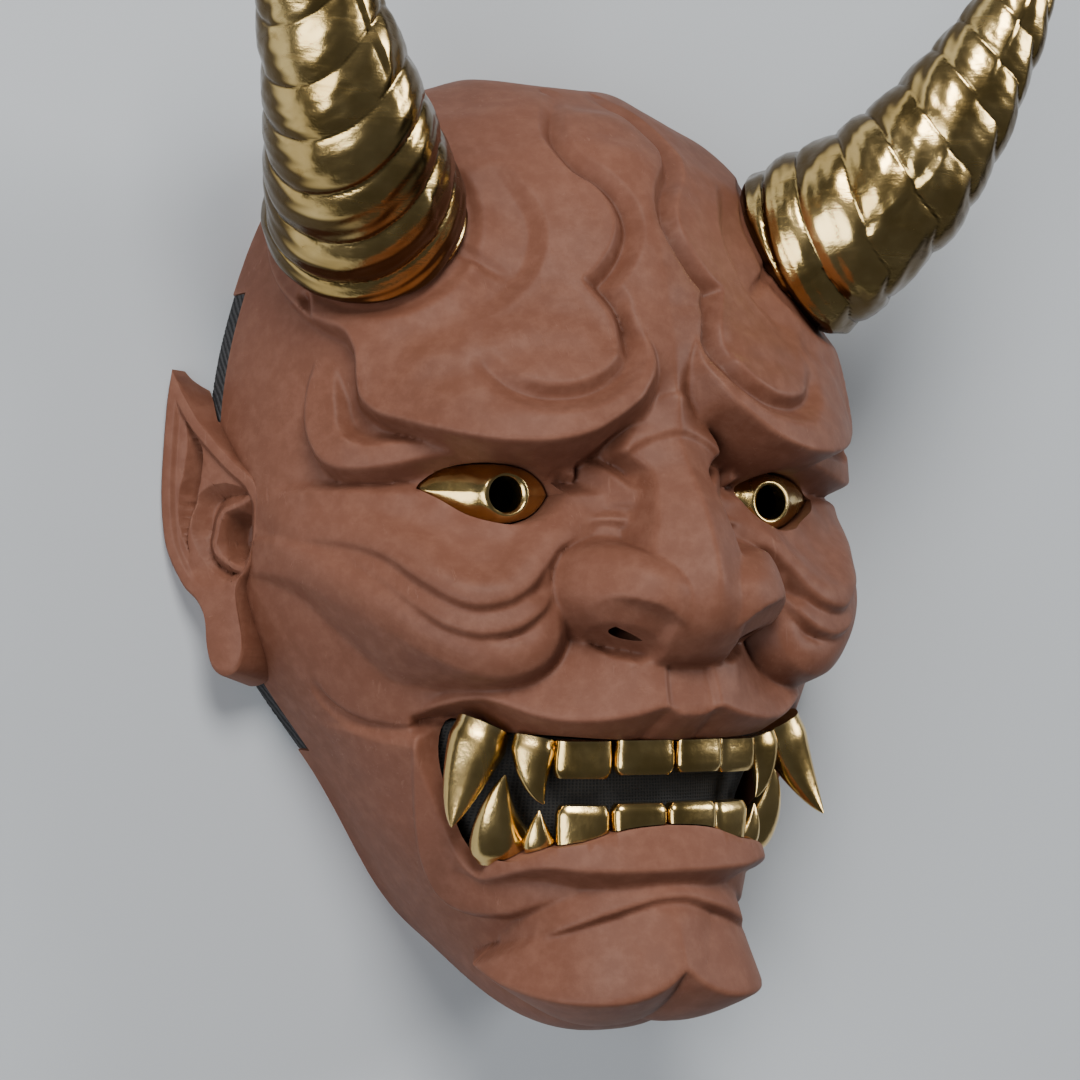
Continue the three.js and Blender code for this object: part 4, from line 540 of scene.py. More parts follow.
def turnOutward(piece):
    mesh = piece.data
    points = vertexValues(mesh, 'co')
    mesh.calc_loop_triangles()
    triangles = np.empty(len(mesh.loop_triangles) * 3, np.int32)
    mesh.loop_triangles.foreach_get('vertices', triangles)
    a, b, c = points[triangles.reshape(-1, 3)].transpose(1, 0, 2)
    if np.einsum('ij,ij->i', a, np.cross(b, c)).sum() < 0:
        mesh.flip_normals()


def applyModifiers(piece):
    depsgraph = bpy.context.evaluated_depsgraph_get()
    mesh = bpy.data.meshes.new_from_object(piece.evaluated_get(depsgraph))
    old = piece.data
    piece.modifiers.clear()
    piece.data = mesh
    bpy.data.meshes.remove(old)


# cut away, join on or keep what is common, then drop the tools
def carve(piece, tools, operation='DIFFERENCE'):
    for tool in tools:
        change = piece.modifiers.new('carve', 'BOOLEAN')
        change.operation = operation
        change.solver = 'MANIFOLD'
        change.object = tool
        applyModifiers(piece)
        bpy.data.meshes.remove(tool.data)


def thinMesh(piece, wanted):
    size = sum(len(face.vertices) - 2 for face in piece.data.polygons)
    if size > wanted:
        change = piece.modifiers.new('thin', 'DECIMATE')
        change.ratio = wanted / size
        applyModifiers(piece)
    return size


# The casting
casting = {
    'wall': 4.4,
    'rimFade': 14.0,
    'rows': 556,
    'columns': 456,
    'innerRows': 150,
    'innerColumns': 132,
    'triangles': 190000,
    'softening': 1,
}


# the bare grid with the map of u, v and each row's half length
def bareGrid(rows, columns):
    v = np.linspace(topV - 2, bottomV + 2, rows + 1)
    grid = np.empty((rows + 1, columns + 1, 3))
    u = np.empty((rows + 1, columns + 1))
    half = np.empty((rows + 1, 1))
    share = np.linspace(-1, 1, columns + 1)
    for j, row in enumerate(rowsAt(v)):
        length = archLine(row)[1][-1]
        half[j] = length
        u[j] = length * share
        grid[j] = onArch(row, u[j])
    return grid, u, np.broadcast_to(v[:, None], u.shape), half


def skinHeight(u, v, half):
    middle = u.shape[1] // 2
    side = carving(np.abs(u[:, middle:]), v[:, middle:])
    h = np.concatenate([side[:, :0:-1], side], 1)
    return h * ease((half - np.abs(u)) / casting['rimFade'])


def soften(h, times):
    for step in range(times):
        for axis in (0, 1):
            h = np.moveaxis(h, axis, 0)
            inner = (h[:-2] + 2 * h[1:-1] + h[2:]) / 4
            h = np.concatenate([h[:1], inner, h[-1:]])
            h = np.moveaxis(h, 0, axis)
    return h


# the grid lifted by h, closed below at a level
def faceSolid(name, grid, h, level):
    rows, columns = h.shape
    index = np.arange(columns)
    across = grid[:, np.minimum(index + 1, columns - 1)] - grid[:, np.maximum(index - 1, 0)]
    index = np.arange(rows)
    up = grid[np.maximum(index - 1, 0)] - grid[np.minimum(index + 1, rows - 1)]
    p = grid + unit(np.cross(across, up)) * h[..., None]
    p[..., 2] = np.maximum(p[..., 2], 0.15)
    p[:, 0, 2] = level
    p[:, -1, 2] = level
    crown, chin, centre = rows * columns + np.arange(3)
    top = arches[0][0] + h[0, columns // 2]
    bottom = arches[-1][0] - h[-1, columns // 2]
    ends = [[0, top, level], [0, bottom, level], [0, 0, level]]
    points = np.vstack([p.reshape(-1, 3), ends])
    faces = gridFaces(rows, columns)[:, ::-1].tolist()
    last = (rows - 1) * columns
    for i in range(columns - 1):
        faces.append([i, i + 1, crown])
        faces.append([last + i + 1, last + i, chin])
    for j in range(rows - 1):
        a = j * columns
        faces.append([a + columns, a, centre])
        faces.append([a + columns - 1, a + 2 * columns - 1, centre])
    faces += [[0, crown, centre], [crown, columns - 1, centre]]
    faces += [[chin, last, centre], [last + columns - 1, chin, centre]]
    piece = makePiece(name, points, faces)
    turnOutward(piece)
    return piece


# a coarse copy of the carved face, for the pieces that sit on it
def coarseFace(name):
    grid, u, v, half = bareGrid(190, 160)
    return faceSolid(name, grid, skinHeight(u, v, half), -2.0)


def lowestNear(h, reach):
    for axis in (0, 1):
        moved = [np.roll(h, k, axis) for k in range(-reach, reach + 1)]
        h = np.minimum.reduce(moved)
    return h


grid, u, v, half = bareGrid(casting['rows'], casting['columns'])
skin = soften(skinHeight(u, v, half), casting['softening'])
print('carving worked out')
mask = faceSolid('mask', grid, skin, 0.0)
grid, u, v, half = bareGrid(casting['innerRows'], casting['innerColumns'])
low = np.maximum(-6, skinHeight(u, v, half))
low = soften(lowestNear(low, 3), 6)
mouthShare = 1 - ease((np.hypot(u / 62, (v + 68) / 30) - 0.8) / 0.4)
inside = mix(low, np.minimum(low, 0), mouthShare) - casting['wall']
cavity = faceSolid('cavity', grid, inside, -3.0)


# Openings, drawn in the map of the face and cut straight through
def planOutline(outline, h, grow=0.0, side=1):
    outline = np.asarray(outline, float)
    p = facePoints(outline[:, 0] * side, outline[:, 1], h)[:, :2]
    if grow:
        after = unit(np.roll(p, -1, 0) - p)
        along = unit(unit(p - np.roll(p, 1, 0)) + after)
        area = (p[:, 0] * np.roll(p[:, 1], -1) - p[:, 1] * np.roll(p[:, 0], -1)).sum()
        stretch = grow * np.sign(area) / np.maximum(0.4, (along * after).sum(1))
        p = p + np.stack([along[:, 1], -along[:, 0]], -1) * stretch[:, None]
    return p


def prism(name, outline, low, high):
    rings = [np.column_stack([outline, np.full(len(outline), z)]) for z in (low, high)]
    return ringSolid(name, rings)


halfMouth = smooth([
    [0, -57.6], [8, -57.5], [16.8, -57.1], [25, -56.4], [32, -55.8], [37, -53.6], [41.5, -52.8],
    [45, -54.8], [47, -59], [47.4, -64], [46.4, -69.5], [45, -75], [43.4, -80], [40.5, -83.6],
    [37, -84.6], [32.6, -83.2], [26.6, -81.2], [19, -80], [12.6, -77.8], [7, -76.8], [0, -76.4]
], 2)
mouthOutline = np.vstack([halfMouth, halfMouth[-2:0:-1] * [-1, 1]])
upperLid = [[57.6, -3], [52, 1], [45.5, 2.7], [38, 3.2], [30, 2.2], [25.4, -0.6], [23.5, -3.7]]
lowerLid = [
    [23.5, -3.7], [26, -6.7], [30, -9.3], [37, -10.8], [44, -9.8], [50.6, -7], [54.6, -4.8], [57.6, -3]
]
eyeOutline = np.vstack([smooth(lid, 3)[:-1] for lid in (upperLid, lowerLid)])
eyeSeat = -3.0


nostrilForm = {
    'start': (13.2, -33.9, 14),
    'end': (12.8, -26.2, -14),
    'halfWidth': 4.6,
    'halfHeight': 2.2,
}


def nostril(side):
    start, end = (facePoint(side * u, v, h) for u, v, h in (nostrilForm['start'], nostrilForm['end']))
    along = (end - start) / np.linalg.norm(end - start)
    across = np.array([1.0, 0, 0]) - along * along[0]
    across /= np.linalg.norm(across)
    up = np.cross(across, along)
    turn = np.linspace(0, 2 * math.pi, 24, endpoint=False)[:, None]
    ring = across * nostrilForm['halfWidth'] * np.cos(turn) + up * nostrilForm['halfHeight'] * np.sin(turn)
    return ringSolid('nostril', [start + ring, end + ring])


# Ears: pointed plates standing back from the side of the face, carved on their fronts
earShape = {
    'front': (-75.0, 0.0, 22.5),
    'across': (-0.607, 0.0, -0.795),
    'out': (-0.795, 0.0, 0.607),
    'thickness': 13.0,
    'centre': (11.0, -6.0),
    'rings': 64,
    'flare': 2.6,
    'outline': [
        [23.6, 26], [24.7, 20], [25.3, 14.5], [26, 5.5], [26.3, -1.5], [26, -8.2], [25.1, -14],
        [23.3, -18.5], [20.2, -23.6], [17, -26.6], [15.2, -29.6], [14.4, -33], [14.1, -37],
        [13.5, -40], [12.4, -42.2], [10.4, -43.6], [8, -43.4], [6, -41.8], [4.9, -39], [4.9, -35.5],
        [5.5, -32], [6.2, -28.5], [6.5, -25], [5.6, -22.2], [3.6, -19.4], [2, -15], [1, -10],
        [0.6, -4.6], [1.6, -0.6], [3.8, 1.8], [6.8, 4.2], [10, 7.2], [13.2, 10.5], [16.2, 13.8],
        [18.5, 17.2], [20.6, 20.6], [23.6, 26]
    ],
    'scapha': [
        [20.8, 15], [20, 9.8], [20.8, 3], [22, -1.5], [22.3, -6], [22, -9.5],
        [21, -12.8], [19.2, -16.5], [19.8, -12.5], [18.9, -8.2], [17.3, -3.8],
        [16.3, 0.8], [15.8, 6.2], [16.6, 9.4], [18.5, 12.5], [20.8, 15]
    ],
    'concha': [
        [8, -0.6], [10.5, -0.2], [14.5, -1], [17, -2.8], [18.5, -6], [18.8, -10.8],
        [18, -14], [15.8, -17.5], [12.8, -20.6], [9.4, -22.4], [6, -22],
        [3.4, -18.5], [2.2, -14], [1.8, -9], [2, -5], [4, -2], [8, -0.6]
    ],
    'innerRidge': [
        [3, -3.4], [5, -4.7], [8, -5.8], [10, -6.8], [11.2, -9], [11.8, -12],
        [12.3, -14.2], [11.2, -16.5], [9.2, -18], [6.8, -19.4], [4.4, -20]
    ],
    'hollowDepth': 1.2,
    'scaphaDepth': 4.6,
    'conchaDepth': 3.8,
    'holeDepth': 4.2,
    'hole': (6.6, -12.4, 3.4, 5.4),
}
earEdge = smooth(earShape['outline'], 8)
earLines = {name: smooth([(a, b, 0) for a, b in earShape[name]], 6)
            for name in ('scapha', 'concha', 'innerRidge')}


def earHeight(a, b):
    away = {name: np.abs(near(line, a, b)[0]) for name, line in earLines.items()}
    rim = np.abs(near(np.column_stack([earEdge, np.zeros(len(earEdge))]), a, b)[0])
    h = -earShape['hollowDepth'] * ease((rim - 2.2) / 1.4) * ease((b + 25) / 6)
    for name, steep in (('scapha', 2), ('concha', 1.1)):
        sunk = np.minimum(earShape[name + 'Depth'], steep * away[name])
        h -= np.where(within(earLines[name], a, b), sunk, 0)
    h = np.maximum(h, -0.5 - 1.4 * np.maximum(0, away['innerRidge'] - 0.5))
    ca, cb, ra, rb = earShape['hole']
    return h - earShape['holeDepth'] * ease((1.15 - np.hypot((a - ca) / ra, (b - cb) / rb)) / 0.6)


# places on the ear: across it, up it, and out from its front
def earPlaces(a, b, h):
    front, across, out = (np.array(earShape[k]) for k in ('front', 'across', 'out'))
    return front + a[..., None] * across + h[..., None] * out + b[..., None] * np.array([0, 1.0, 0])


def ear(side):
    outline = earEdge[:-1]
    out = np.array(earShape['out'])
    rings = []
    count = earShape['rings']
    for j in range(1, count + 1):
        r = (j / count) ** 0.8
        a = mix(earShape['centre'][0], outline[:, 0], r)
        b = mix(earShape['centre'][1], outline[:, 1], r)
        rings.append(earPlaces(a, b, earHeight(a, b) - 0.5 * (1 - ease((count - j) / 2.5))))
    turn = np.roll(outline, 1, 0) - np.roll(outline, -1, 0)
    turn = unit(np.column_stack([turn[:, 1], -turn[:, 0]]))
    flare = earShape['flare'] * (1 - ease((turn[:, 0] - 0.1) / 0.7)) * ease((25 - outline[:, 1]) / 8)
    for step in np.linspace(0.06, 1, 10):
        at = outline + turn * (flare * step)[:, None]
        p = earPlaces(at[:, 0], at[:, 1], np.zeros(len(at)))
        depth = np.minimum(earShape['thickness'], p[:, 2] / out[2])
        rings.append(p - out * (depth * step)[:, None])
    rings = np.array(rings)
    rings[..., 0] *= side
    rings[..., 2] = np.maximum(rings[..., 2], 0)
    return ringSolid('ear', rings)


def earSlab(side, share, low, high):
    a, b = mix(np.array(earShape['centre']), earEdge[:-1], share).T
    rings = np.array([earPlaces(a, b, np.full(len(a), h)) for h in (low, high)])
    rings[..., 0] *= side
    return ringSolid('earSlab', rings)


carve(cavity, [earSlab(-1, 1, -10.5, 16), earSlab(1, 1, -10.5, 16)])
carve(mask, [earSlab(-1, 0.97, -9, 16), earSlab(1, 0.97, -9, 16)])
carve(mask, [ear(-1), ear(1)], 'UNION')
carve(mask, [cavity])
carve(mask, [prism('mouthHole', planOutline(mouthOutline, 2), 15, 120)])
for side in (-1, 1):
    carve(mask, [prism('eyeHole', planOutline(eyeOutline, eyeSeat, 0, side), 15, 120), nostril(side)])


# Elastic: a braided band let into the rim behind each ear
strap = {
    'rise': 6.5,
    'low': 0.5,
    'thickness': 2.4,
    'top': 44.0,
    'bottom': -61.0,
    'gap': 0.3,
    'ribs': 7,
    'ribDepth': 0.35,
}


def rimAt(y):
    order = np.argsort(midRows[:, 3])
    return np.stack([np.interp(y, midRows[order, 3], midRows[order, 2]), y], -1)


def strapOffsets(side, distances, extra, count):
    path = rimAt(np.linspace(strap['top'] + extra, strap['bottom'] - extra, count))
    along = unit(np.gradient(path, axis=0))
    out = np.stack([-along[:, 1], along[:, 0]], -1)
    return [(path + out * d) * [side, 1] for d in distances]


def strapRecess(side):
    outer, inner = strapOffsets(side, (0.35, -strap['thickness'] - strap['gap']), strap['gap'], 24)
    return prism('recess', np.vstack([outer, inner[::-1]]), -1, strap['rise'] + strap['gap'])


for side in (-1, 1):
    carve(mask, [strapRecess(side)])
full = thinMesh(mask, casting['triangles'])
print('casting shaped from', full, 'triangles')


# a ribbon with a ribbed, braided face
def sideStrap(name, side):
    count = 180
    high = 26
    levels = np.linspace(strap['low'], strap['rise'], high)
    outer, inner = strapOffsets(side, (0.0, -strap['thickness']), 0, count)
    out = unit(outer - inner)
    along = np.linspace(0, strap['top'] - strap['bottom'], count)
    rings = []
    for k in range(count):
        share = (levels - strap['low']) / (strap['rise'] - strap['low'])
        rib = np.abs(np.sin(share * strap['ribs'] * math.pi))
        weave = np.sin(along[k] * 3.4 + 2.2 * np.sign(np.sin(share * strap['ribs'] * 2 * math.pi)))
        sink = strap['ribDepth'] * (1 - rib) + 0.1 * (1 + weave)
        edge = 0.6 * np.maximum(0, np.abs(share - 0.5) * 2 - 0.9)
        front = outer[k] - out[k] * (sink + edge)[:, None]
        back = np.repeat(inner[k][None], high, 0)
        rings.append(np.vstack([np.column_stack([front, levels]), np.column_stack([back, levels])[::-1]]))
    return ringSolid(name, rings)


sideStraps = [sideStrap('sideStrapLeft', -1), sideStrap('sideStrapRight', 1)]

# Horns: rings along a curve, with uneven ridges and a crease where they shift
hornForm = {
    'path': [
        [52, 52, 32], [57.4, 57, 40], [66, 66, 54], [73, 75, 63], [79, 85, 69], [86, 98, 74.5],
        [93, 114, 80], [98, 131, 85], [100.5, 149, 90]
    ],
    'base': 22.0,
    'straight': 12.0,
    'ridge': 11.0,
    'ridgeHeight': 1.5,
    'rings': 340,
    'sides': 120,
    'gap': 0.1,
}


def wander(x, seed, pitch):
    table = np.random.default_rng(seed).uniform(-1, 1, 64)
    place = np.asarray(x) / pitch
    k = np.floor(place).astype(int)
    return mix(table[k % 64], table[(k + 1) % 64], ease(place - k))


def horn(name, side):
    path = smooth(hornForm['path'], 16)
    length = np.concatenate([[0], np.cumsum(np.linalg.norm(np.diff(path, axis=0), axis=1))])
    s = np.linspace(0, length[-1], hornForm['rings'] + 1)
    centre = np.stack([np.interp(s, length, path[:, k]) for k in range(3)], -1)
    along = unit(np.gradient(centre, axis=0))
    turn = np.linspace(0, 2 * math.pi, hornForm['sides'], endpoint=False)
    frameAxis = np.array([0, 0, 1.0])
    rings = []
    seed = 5 if side < 0 else 9
    for j in range(len(s)):
        frameAxis = frameAxis - along[j] * (frameAxis @ along[j])
        frameAxis /= np.linalg.norm(frameAxis)
        other = np.cross(along[j], frameAxis)
        taper = max(0, s[j] - hornForm['straight']) / (length[-1] - hornForm['straight'])
        radius = hornForm['base'] * (1 - taper ** 1.25) + 0.35
        root = mix(0.5, 1, ease(s[j] / 13))
        lean = 5 * np.sin(turn) + 0.8 * np.sin(2 * turn + seed) + wander(turn * 3, seed, 1.9) * 0.5
        crease = ease((np.sin(turn * 0.5 + 0.9 * side) - 0.93) / 0.05)
        place = s[j] + lean + 3 * crease + 1.4 * wander(s[j], seed + 1, 14)
        wave = np.abs(np.sin(place / hornForm['ridge'] * math.pi)) ** 0.5
        fine = 0.05 * np.sin(place * 2.1) + 0.05 * np.sin(turn * 9 + place * 0.9)
        ridge = hornForm['ridgeHeight'] * (wave - 0.62) * (1 - 0.75 * taper) + fine * (1 - taper)
        dent = 0.5 * wander(s[j] * 0.5 + turn * 3, seed + 2, 3.1)
        dent += 0.22 * wander(s[j] * 0.4 + turn * 11, seed + 3, 2.3)
        dent *= 1 - 0.6 * taper
        r = (radius + (ridge + dent) * min(1, radius / 6)) * root
        r = np.maximum(r, 0.3)
        rings.append(centre[j] + frameAxis * (r * np.cos(turn))[:, None]
                     + other * (r * np.sin(turn))[:, None])
    rings = np.array(rings)
    rings[..., 0] *= side
    body = ringSolid(name, rings)
    seat = coarseFace('seat')
    seat.location = Vector((side, 1, 1)) * hornForm['gap'] * millimetre
    bpy.context.view_layer.update()
    carve(body, [seat])
    return body


horns = [horn('hornLeft', -1), horn('hornRight', 1)]
print('horns grown')

# Eyes: domed almonds with a round hole and a raised lip
eyeForm = {
    'hole': (36.0, -4.0),
    'holeRadius': 4.1,
    'lip': 0.9,
    'lipWidth': 1.2,
    'thickness': 3.0,
    'inset': 0.3,
}


def eyeHeight(u, v):
    inward = np.maximum(0, (eyeForm['hole'][0] - u) / 14) ** 1.35
    outward = np.maximum(0, (u - eyeForm['hole'][0]) / 21) ** 2
    return -1.3 - 6.7 * inward + 0.8 * outward - 0.05 * (v - eyeForm['hole'][1]) ** 2


def eye(name, side):
    hu, hv = eyeForm['hole']
    middle = facePoint(side * hu, hv, -1.3)[:2]
    edge = planOutline(eyeOutline, eyeSeat, -eyeForm['inset'], side)
    start = middle + unit(edge - middle) * eyeForm['holeRadius']
    reach = np.linalg.norm(edge - start, axis=1)
    shares = [0, 0.02, 0.05, 0.09, 0.13, 0.17, 0.22, 0.3, 0.42, 0.56, 0.7, 0.84, 0.95, 1.0]
    rings = []
    for r in shares:
        p = start + (edge - start) * r
        u = side * mix(hu, eyeOutline[:, 0], r)
        v = mix(hv, eyeOutline[:, 1], r)
        z = facePoints(u, v, eyeHeight(np.abs(u), v))[:, 2]
        lip = eyeForm['lip'] * np.exp(-((r * reach - 1.0) / eyeForm['lipWidth']) ** 2)
        rings.append(np.column_stack([p, z + lip - 0.5 * ease((r - 0.95) / 0.05)]))
    rings.append(np.column_stack([edge, rings[-1][:, 2] - eyeForm['thickness']]))
    rings.append(np.column_stack([start, rings[0][:, 2] - eyeForm['thickness'] - 1]))
    rings = np.array(rings)
    faces = gridFaces(len(rings), len(edge), True).tolist()
    last = (len(rings) - 1) * len(edge)
    size = len(edge)
    faces += [[last + i, last + (i + 1) % size, (i + 1) % size, i] for i in range(size)]
    piece = makePiece(name, rings.reshape(-1, 3), faces)
    turnOutward(piece)
    return piece


eyes = [eye('eyeLeft', -1), eye('eyeRight', 1)]

# Teeth: blocks and fangs set along each jaw
teethForm = {
    'sides': 28,
    'lining': -3.4,
    'liningThickness': 1.4,
    'gap': 0.3,
    # across, gum end, biting end, height, width, depth
    'upperBlocks': [
        (-18.7, -57.4, -65.6, 5.8, 13, 5), (-5.6, -57.4, -65, 6.8, 14.4, 5),
        (7.5, -57.4, -64.6, 6.8, 12.4, 5), (18.8, -57.4, -64.8, 5.8, 12, 5)
    ],
    'lowerBlocks': [(6.3, -78.4, -71.4, 6.2, 13, 5), (18, -80.8, -71.8, 5.2, 12, 5.4)],
}


def block(u, v1, v2, h, width, depth):
    rings = []
    turn = np.linspace(0, 2 * math.pi, teethForm['sides'], endpoint=False)
    shares = np.linspace(0, 1, 13)
    places = facePlaces(np.full(13, u), mix(v1, v2, shares))
    for k, t in enumerate(shares):
        p, across, up, out = (x[k] for x in places)
        size = mix(0.9, 1, ease(t / 0.5)) * (1 - 0.3 * max(0, (t - 0.72) / 0.28) ** 2.2)
        x = np.sign(np.cos(turn)) * np.abs(np.cos(turn)) ** 0.5 * width / 2 * mix(1, size, 0.45)
        y = np.sign(np.sin(turn)) * np.abs(np.sin(turn)) ** 0.6 * depth / 2 * size
        rings.append(p + out * (h - depth / 2) + across * x[:, None] + out * y[:, None])
    return ringSolid('tooth', rings)


def fang(base, bend, tip, width, depth):
    turn = np.linspace(0, 2 * math.pi, teethForm['sides'], endpoint=False)
    rings = []
    for t in np.linspace(0, 1, 22):
        p = base * (1 - t) ** 2 + bend * 2 * t * (1 - t) + tip * t * t
        along = (bend - base) * (1 - t) + (tip - bend) * t
        along /= np.linalg.norm(along)
        across = np.array([1, 0, -0.3 * np.sign(base[0])])
        across -= along * (across @ along)
        across /= np.linalg.norm(across)
        out = np.cross(across, along)
        size = max(0.02, (1 - t) ** 0.75) * mix(0.82, 1, ease(t / 0.18))
        flute = 1 + 0.03 * np.cos(turn * 5)
        rings.append(p + (across * (width / 2 * size * np.cos(turn) * flute)[:, None]
                          + out * (depth / 2 * size * np.sin(turn) * flute)[:, None]))
    return ringSolid('fang', rings)


def panel(front, back):
    u = np.linspace(-56, 56, 60)
    corners = ((-46, front), (-92, front), (-92, back), (-46, back))
    edges = [facePoints(u, np.full(60, v), h) for v, h in corners]
    return ringSolid('panel', np.array(edges).transpose(1, 0, 2))


def upperTeeth():
    row = [block(*sizes) for sizes in teethForm['upperBlocks']]
    for side in (-1, 1):
        row.append(fang(facePoint(side * 28.8, -56.8, 2.6), facePoint(side * 29.6, -65, 5.6),
                        facePoint(side * 26, -71, 5), 11.6, 6.8))
        row.append(fang(facePoint(side * 39.8, -54.2, 1.2), facePoint(side * 42.6, -66, 9),
                        np.array([side * 48.4, -75.8, 64.1]), 15, 11))
    carve(row[0], row[1:], 'UNION')
    return row[0]


def lowerTeeth():
    row = []
    for side in (-1, 1):
        row += [block(side * u, *sizes) for u, *sizes in teethForm['lowerBlocks']]
        row.append(fang(facePoint(side * 26.8, -81, 2.6), facePoint(side * 27, -78, 4.6),
                        facePoint(side * 26.8, -72.6, 4.4), 8.4, 6))
        row.append(fang(facePoint(side * 35.4, -82.4, 0.6), facePoint(side * 36.2, -75, 6),
                        np.array([side * 35, -65, 63.5]), 16, 10))
    carve(row[0], row[1:], 'UNION')
    return row[0]


def seatTeeth(row):
    lips = coarseFace('lips')
    lips.location = (0, 0, teethForm['gap'] * millimetre)
    bpy.context.view_layer.update()
    carve(lips, [prism('mouthInside', planOutline(mouthOutline, 2, -teethForm['gap']), -20, 130)])
    carve(row, [lips, panel(teethForm['lining'] + teethForm['gap'], -24)])
    return row


teeth = []
for name, makeRow in (('upperTeeth', upperTeeth), ('lowerTeeth', lowerTeeth)):
    row = seatTeeth(makeRow())
    row.name = name
    teeth.append(row)
lining = panel(teethForm['lining'], teethForm['lining'] - teethForm['liningThickness'])
mouthInside = prism('mouthInside', planOutline(mouthOutline, 2, -teethForm['gap']), -20, 130)
carve(lining, [mouthInside], 'INTERSECT')
lining.name = 'mouthLining'
print('eyes, teeth and lining set')


def storeValues(mesh, name, values):
    layer = mesh.attributes.new(name, 'FLOAT', 'POINT')
    layer.data.foreach_set('value', values.astype(np.float32))


# How sharply the skin turns: edges above nought, hollows below
def storeShape(piece, reach=2):
    mesh = piece.data
    size = len(mesh.vertices)
    points = vertexValues(mesh, 'co') / millimetre
    normals = vertexValues(mesh, 'normal')
    ends = np.empty(len(mesh.edges) * 2, np.int32)
    mesh.edges.foreach_get('vertices', ends)
    a, b = ends.reshape(-1, 2).T
    gap = points[b] - points[a]
    length = np.maximum(np.linalg.norm(gap, axis=1), 0.05)
    bend = np.zeros(size)
    count = np.zeros(size)
    np.add.at(bend, a, -(gap * normals[a]).sum(1) / length)
    np.add.at(bend, b, (gap * normals[b]).sum(1) / length)
    np.add.at(count, a, 1)
    np.add.at(count, b, 1)
    count = np.maximum(count, 1)
    bend /= count
    for step in range(reach):
        total = np.zeros(size)
        np.add.at(total, a, bend[b])
        np.add.at(total, b, bend[a])
        bend = 0.5 * bend + 0.5 * total / count
    storeValues(mesh, 'turnOfSkin', bend)


# Painted shade: the gold is painted darker on the flanks of the horns, away from the front (the camera's
# side), in place of dark reflections there
paintedFlankShade = {
    'front': np.array([-0.44, -0.03, 0.90]),
    'edge': 0.80,
    'fade': 0.36,
}


def storePaintedFlankShade(piece, flanks):
    facing = vertexValues(piece.data, 'normal') @ paintedFlankShade['front']
    shade = ease((paintedFlankShade['edge'] - facing) / paintedFlankShade['fade']) * flanks
    storeValues(piece.data, 'paintedFlankShade', shade)


# Materials: sums on values add the nodes for them
class Value:
    def __init__(self, tree, socket):
        self.tree = tree
        self.socket = socket

    def node(self, kind, settings=None, sockets=None, output=0):
        made = self.tree.nodes.new(kind)
        for key, setting in (settings or {}).items():
            setattr(made, key, setting)
        for key, value in (sockets or {}).items():
            if isinstance(value, Value):
                self.tree.links.new(value.socket, made.inputs[key])
            else:
                made.inputs[key].default_value = value
        return Value(self.tree, made.outputs[output])

    def maths(self, operation, *values):
        return self.node('ShaderNodeMath', {'operation': operation}, dict(enumerate(values)))

    def __add__(self, other):
        return self.maths('ADD', self, other)

    def __sub__(self, other):
        return self.maths('SUBTRACT', self, other)

    def __rsub__(self, other):
        return self.maths('SUBTRACT', other, self)

    def __mul__(self, other):
        return self.maths('MULTIPLY', self, other)

    __radd__ = __add__
    __rmul__ = __mul__

    # nought at the low value, one at the high value
    def span(self, low, high):
        settings = {'interpolation_type': 'SMOOTHSTEP'}
        return self.node('ShaderNodeMapRange', settings, {'Value': self, 'From Min': low, 'From Max': high})

    def blend(self, first, second, mode='MIX'):
        settings = {'data_type': 'RGBA', 'blend_type': mode, 'clamp_factor': True}
        return self.node('ShaderNodeMix', settings, {0: self, 6: first, 7: second}, 2)

    def stretch(self, scale, turn=(0, 0, 0)):
        return self.node('ShaderNodeMapping', None, {'Vector': self, 'Scale': scale, 'Rotation': turn})

    def noise(self, scale, detail=3.0, rough=0.5, warp=0.0):
        sockets = {'Vector': self, 'Scale': scale, 'Detail': detail, 'Roughness': rough, 'Distortion': warp}
        return self.node('ShaderNodeTexNoise', None, sockets)

    def bands(self, direction, scale, warp):
        sockets = {'Vector': self, 'Scale': scale, 'Distortion': warp}
        return self.node('ShaderNodeTexWave', {'bands_direction': direction}, sockets)


def colour(r, g, b):
    return (r, g, b, 1)


def startFinish(name):
    material = bpy.data.materials.new(name)
    material.use_nodes = True
    tree = material.node_tree
    shader = tree.nodes['Principled BSDF']
    start = Value(tree, None)
    place = start.node('ShaderNodeTexCoord', None, None, 3)
    turn = start.node('ShaderNodeAttribute', {'attribute_name': 'turnOfSkin'}, None, 2)
    return material, shader, place, turn


def feed(shader, key, value):
    if isinstance(value, Value):
        value.tree.links.new(value.socket, shader.inputs[key])
    else:
        shader.inputs[key].default_value = value


def bumped(height, strength, distance, under=None):
    sockets = {'Height': height, 'Strength': strength, 'Distance': distance}
    if under:
        sockets['Normal'] = under
    return height.node('ShaderNodeBump', None, sockets)


castingLook = {
    'skin': (colour(0.138, 0.052, 0.030), colour(0.168, 0.066, 0.040)),
    'paintedHollowShade': colour(0.060, 0.018, 0.009),
    'light': colour(0.300, 0.145, 0.098),
    'rough': 0.5,
    'specular': 0.22,
}


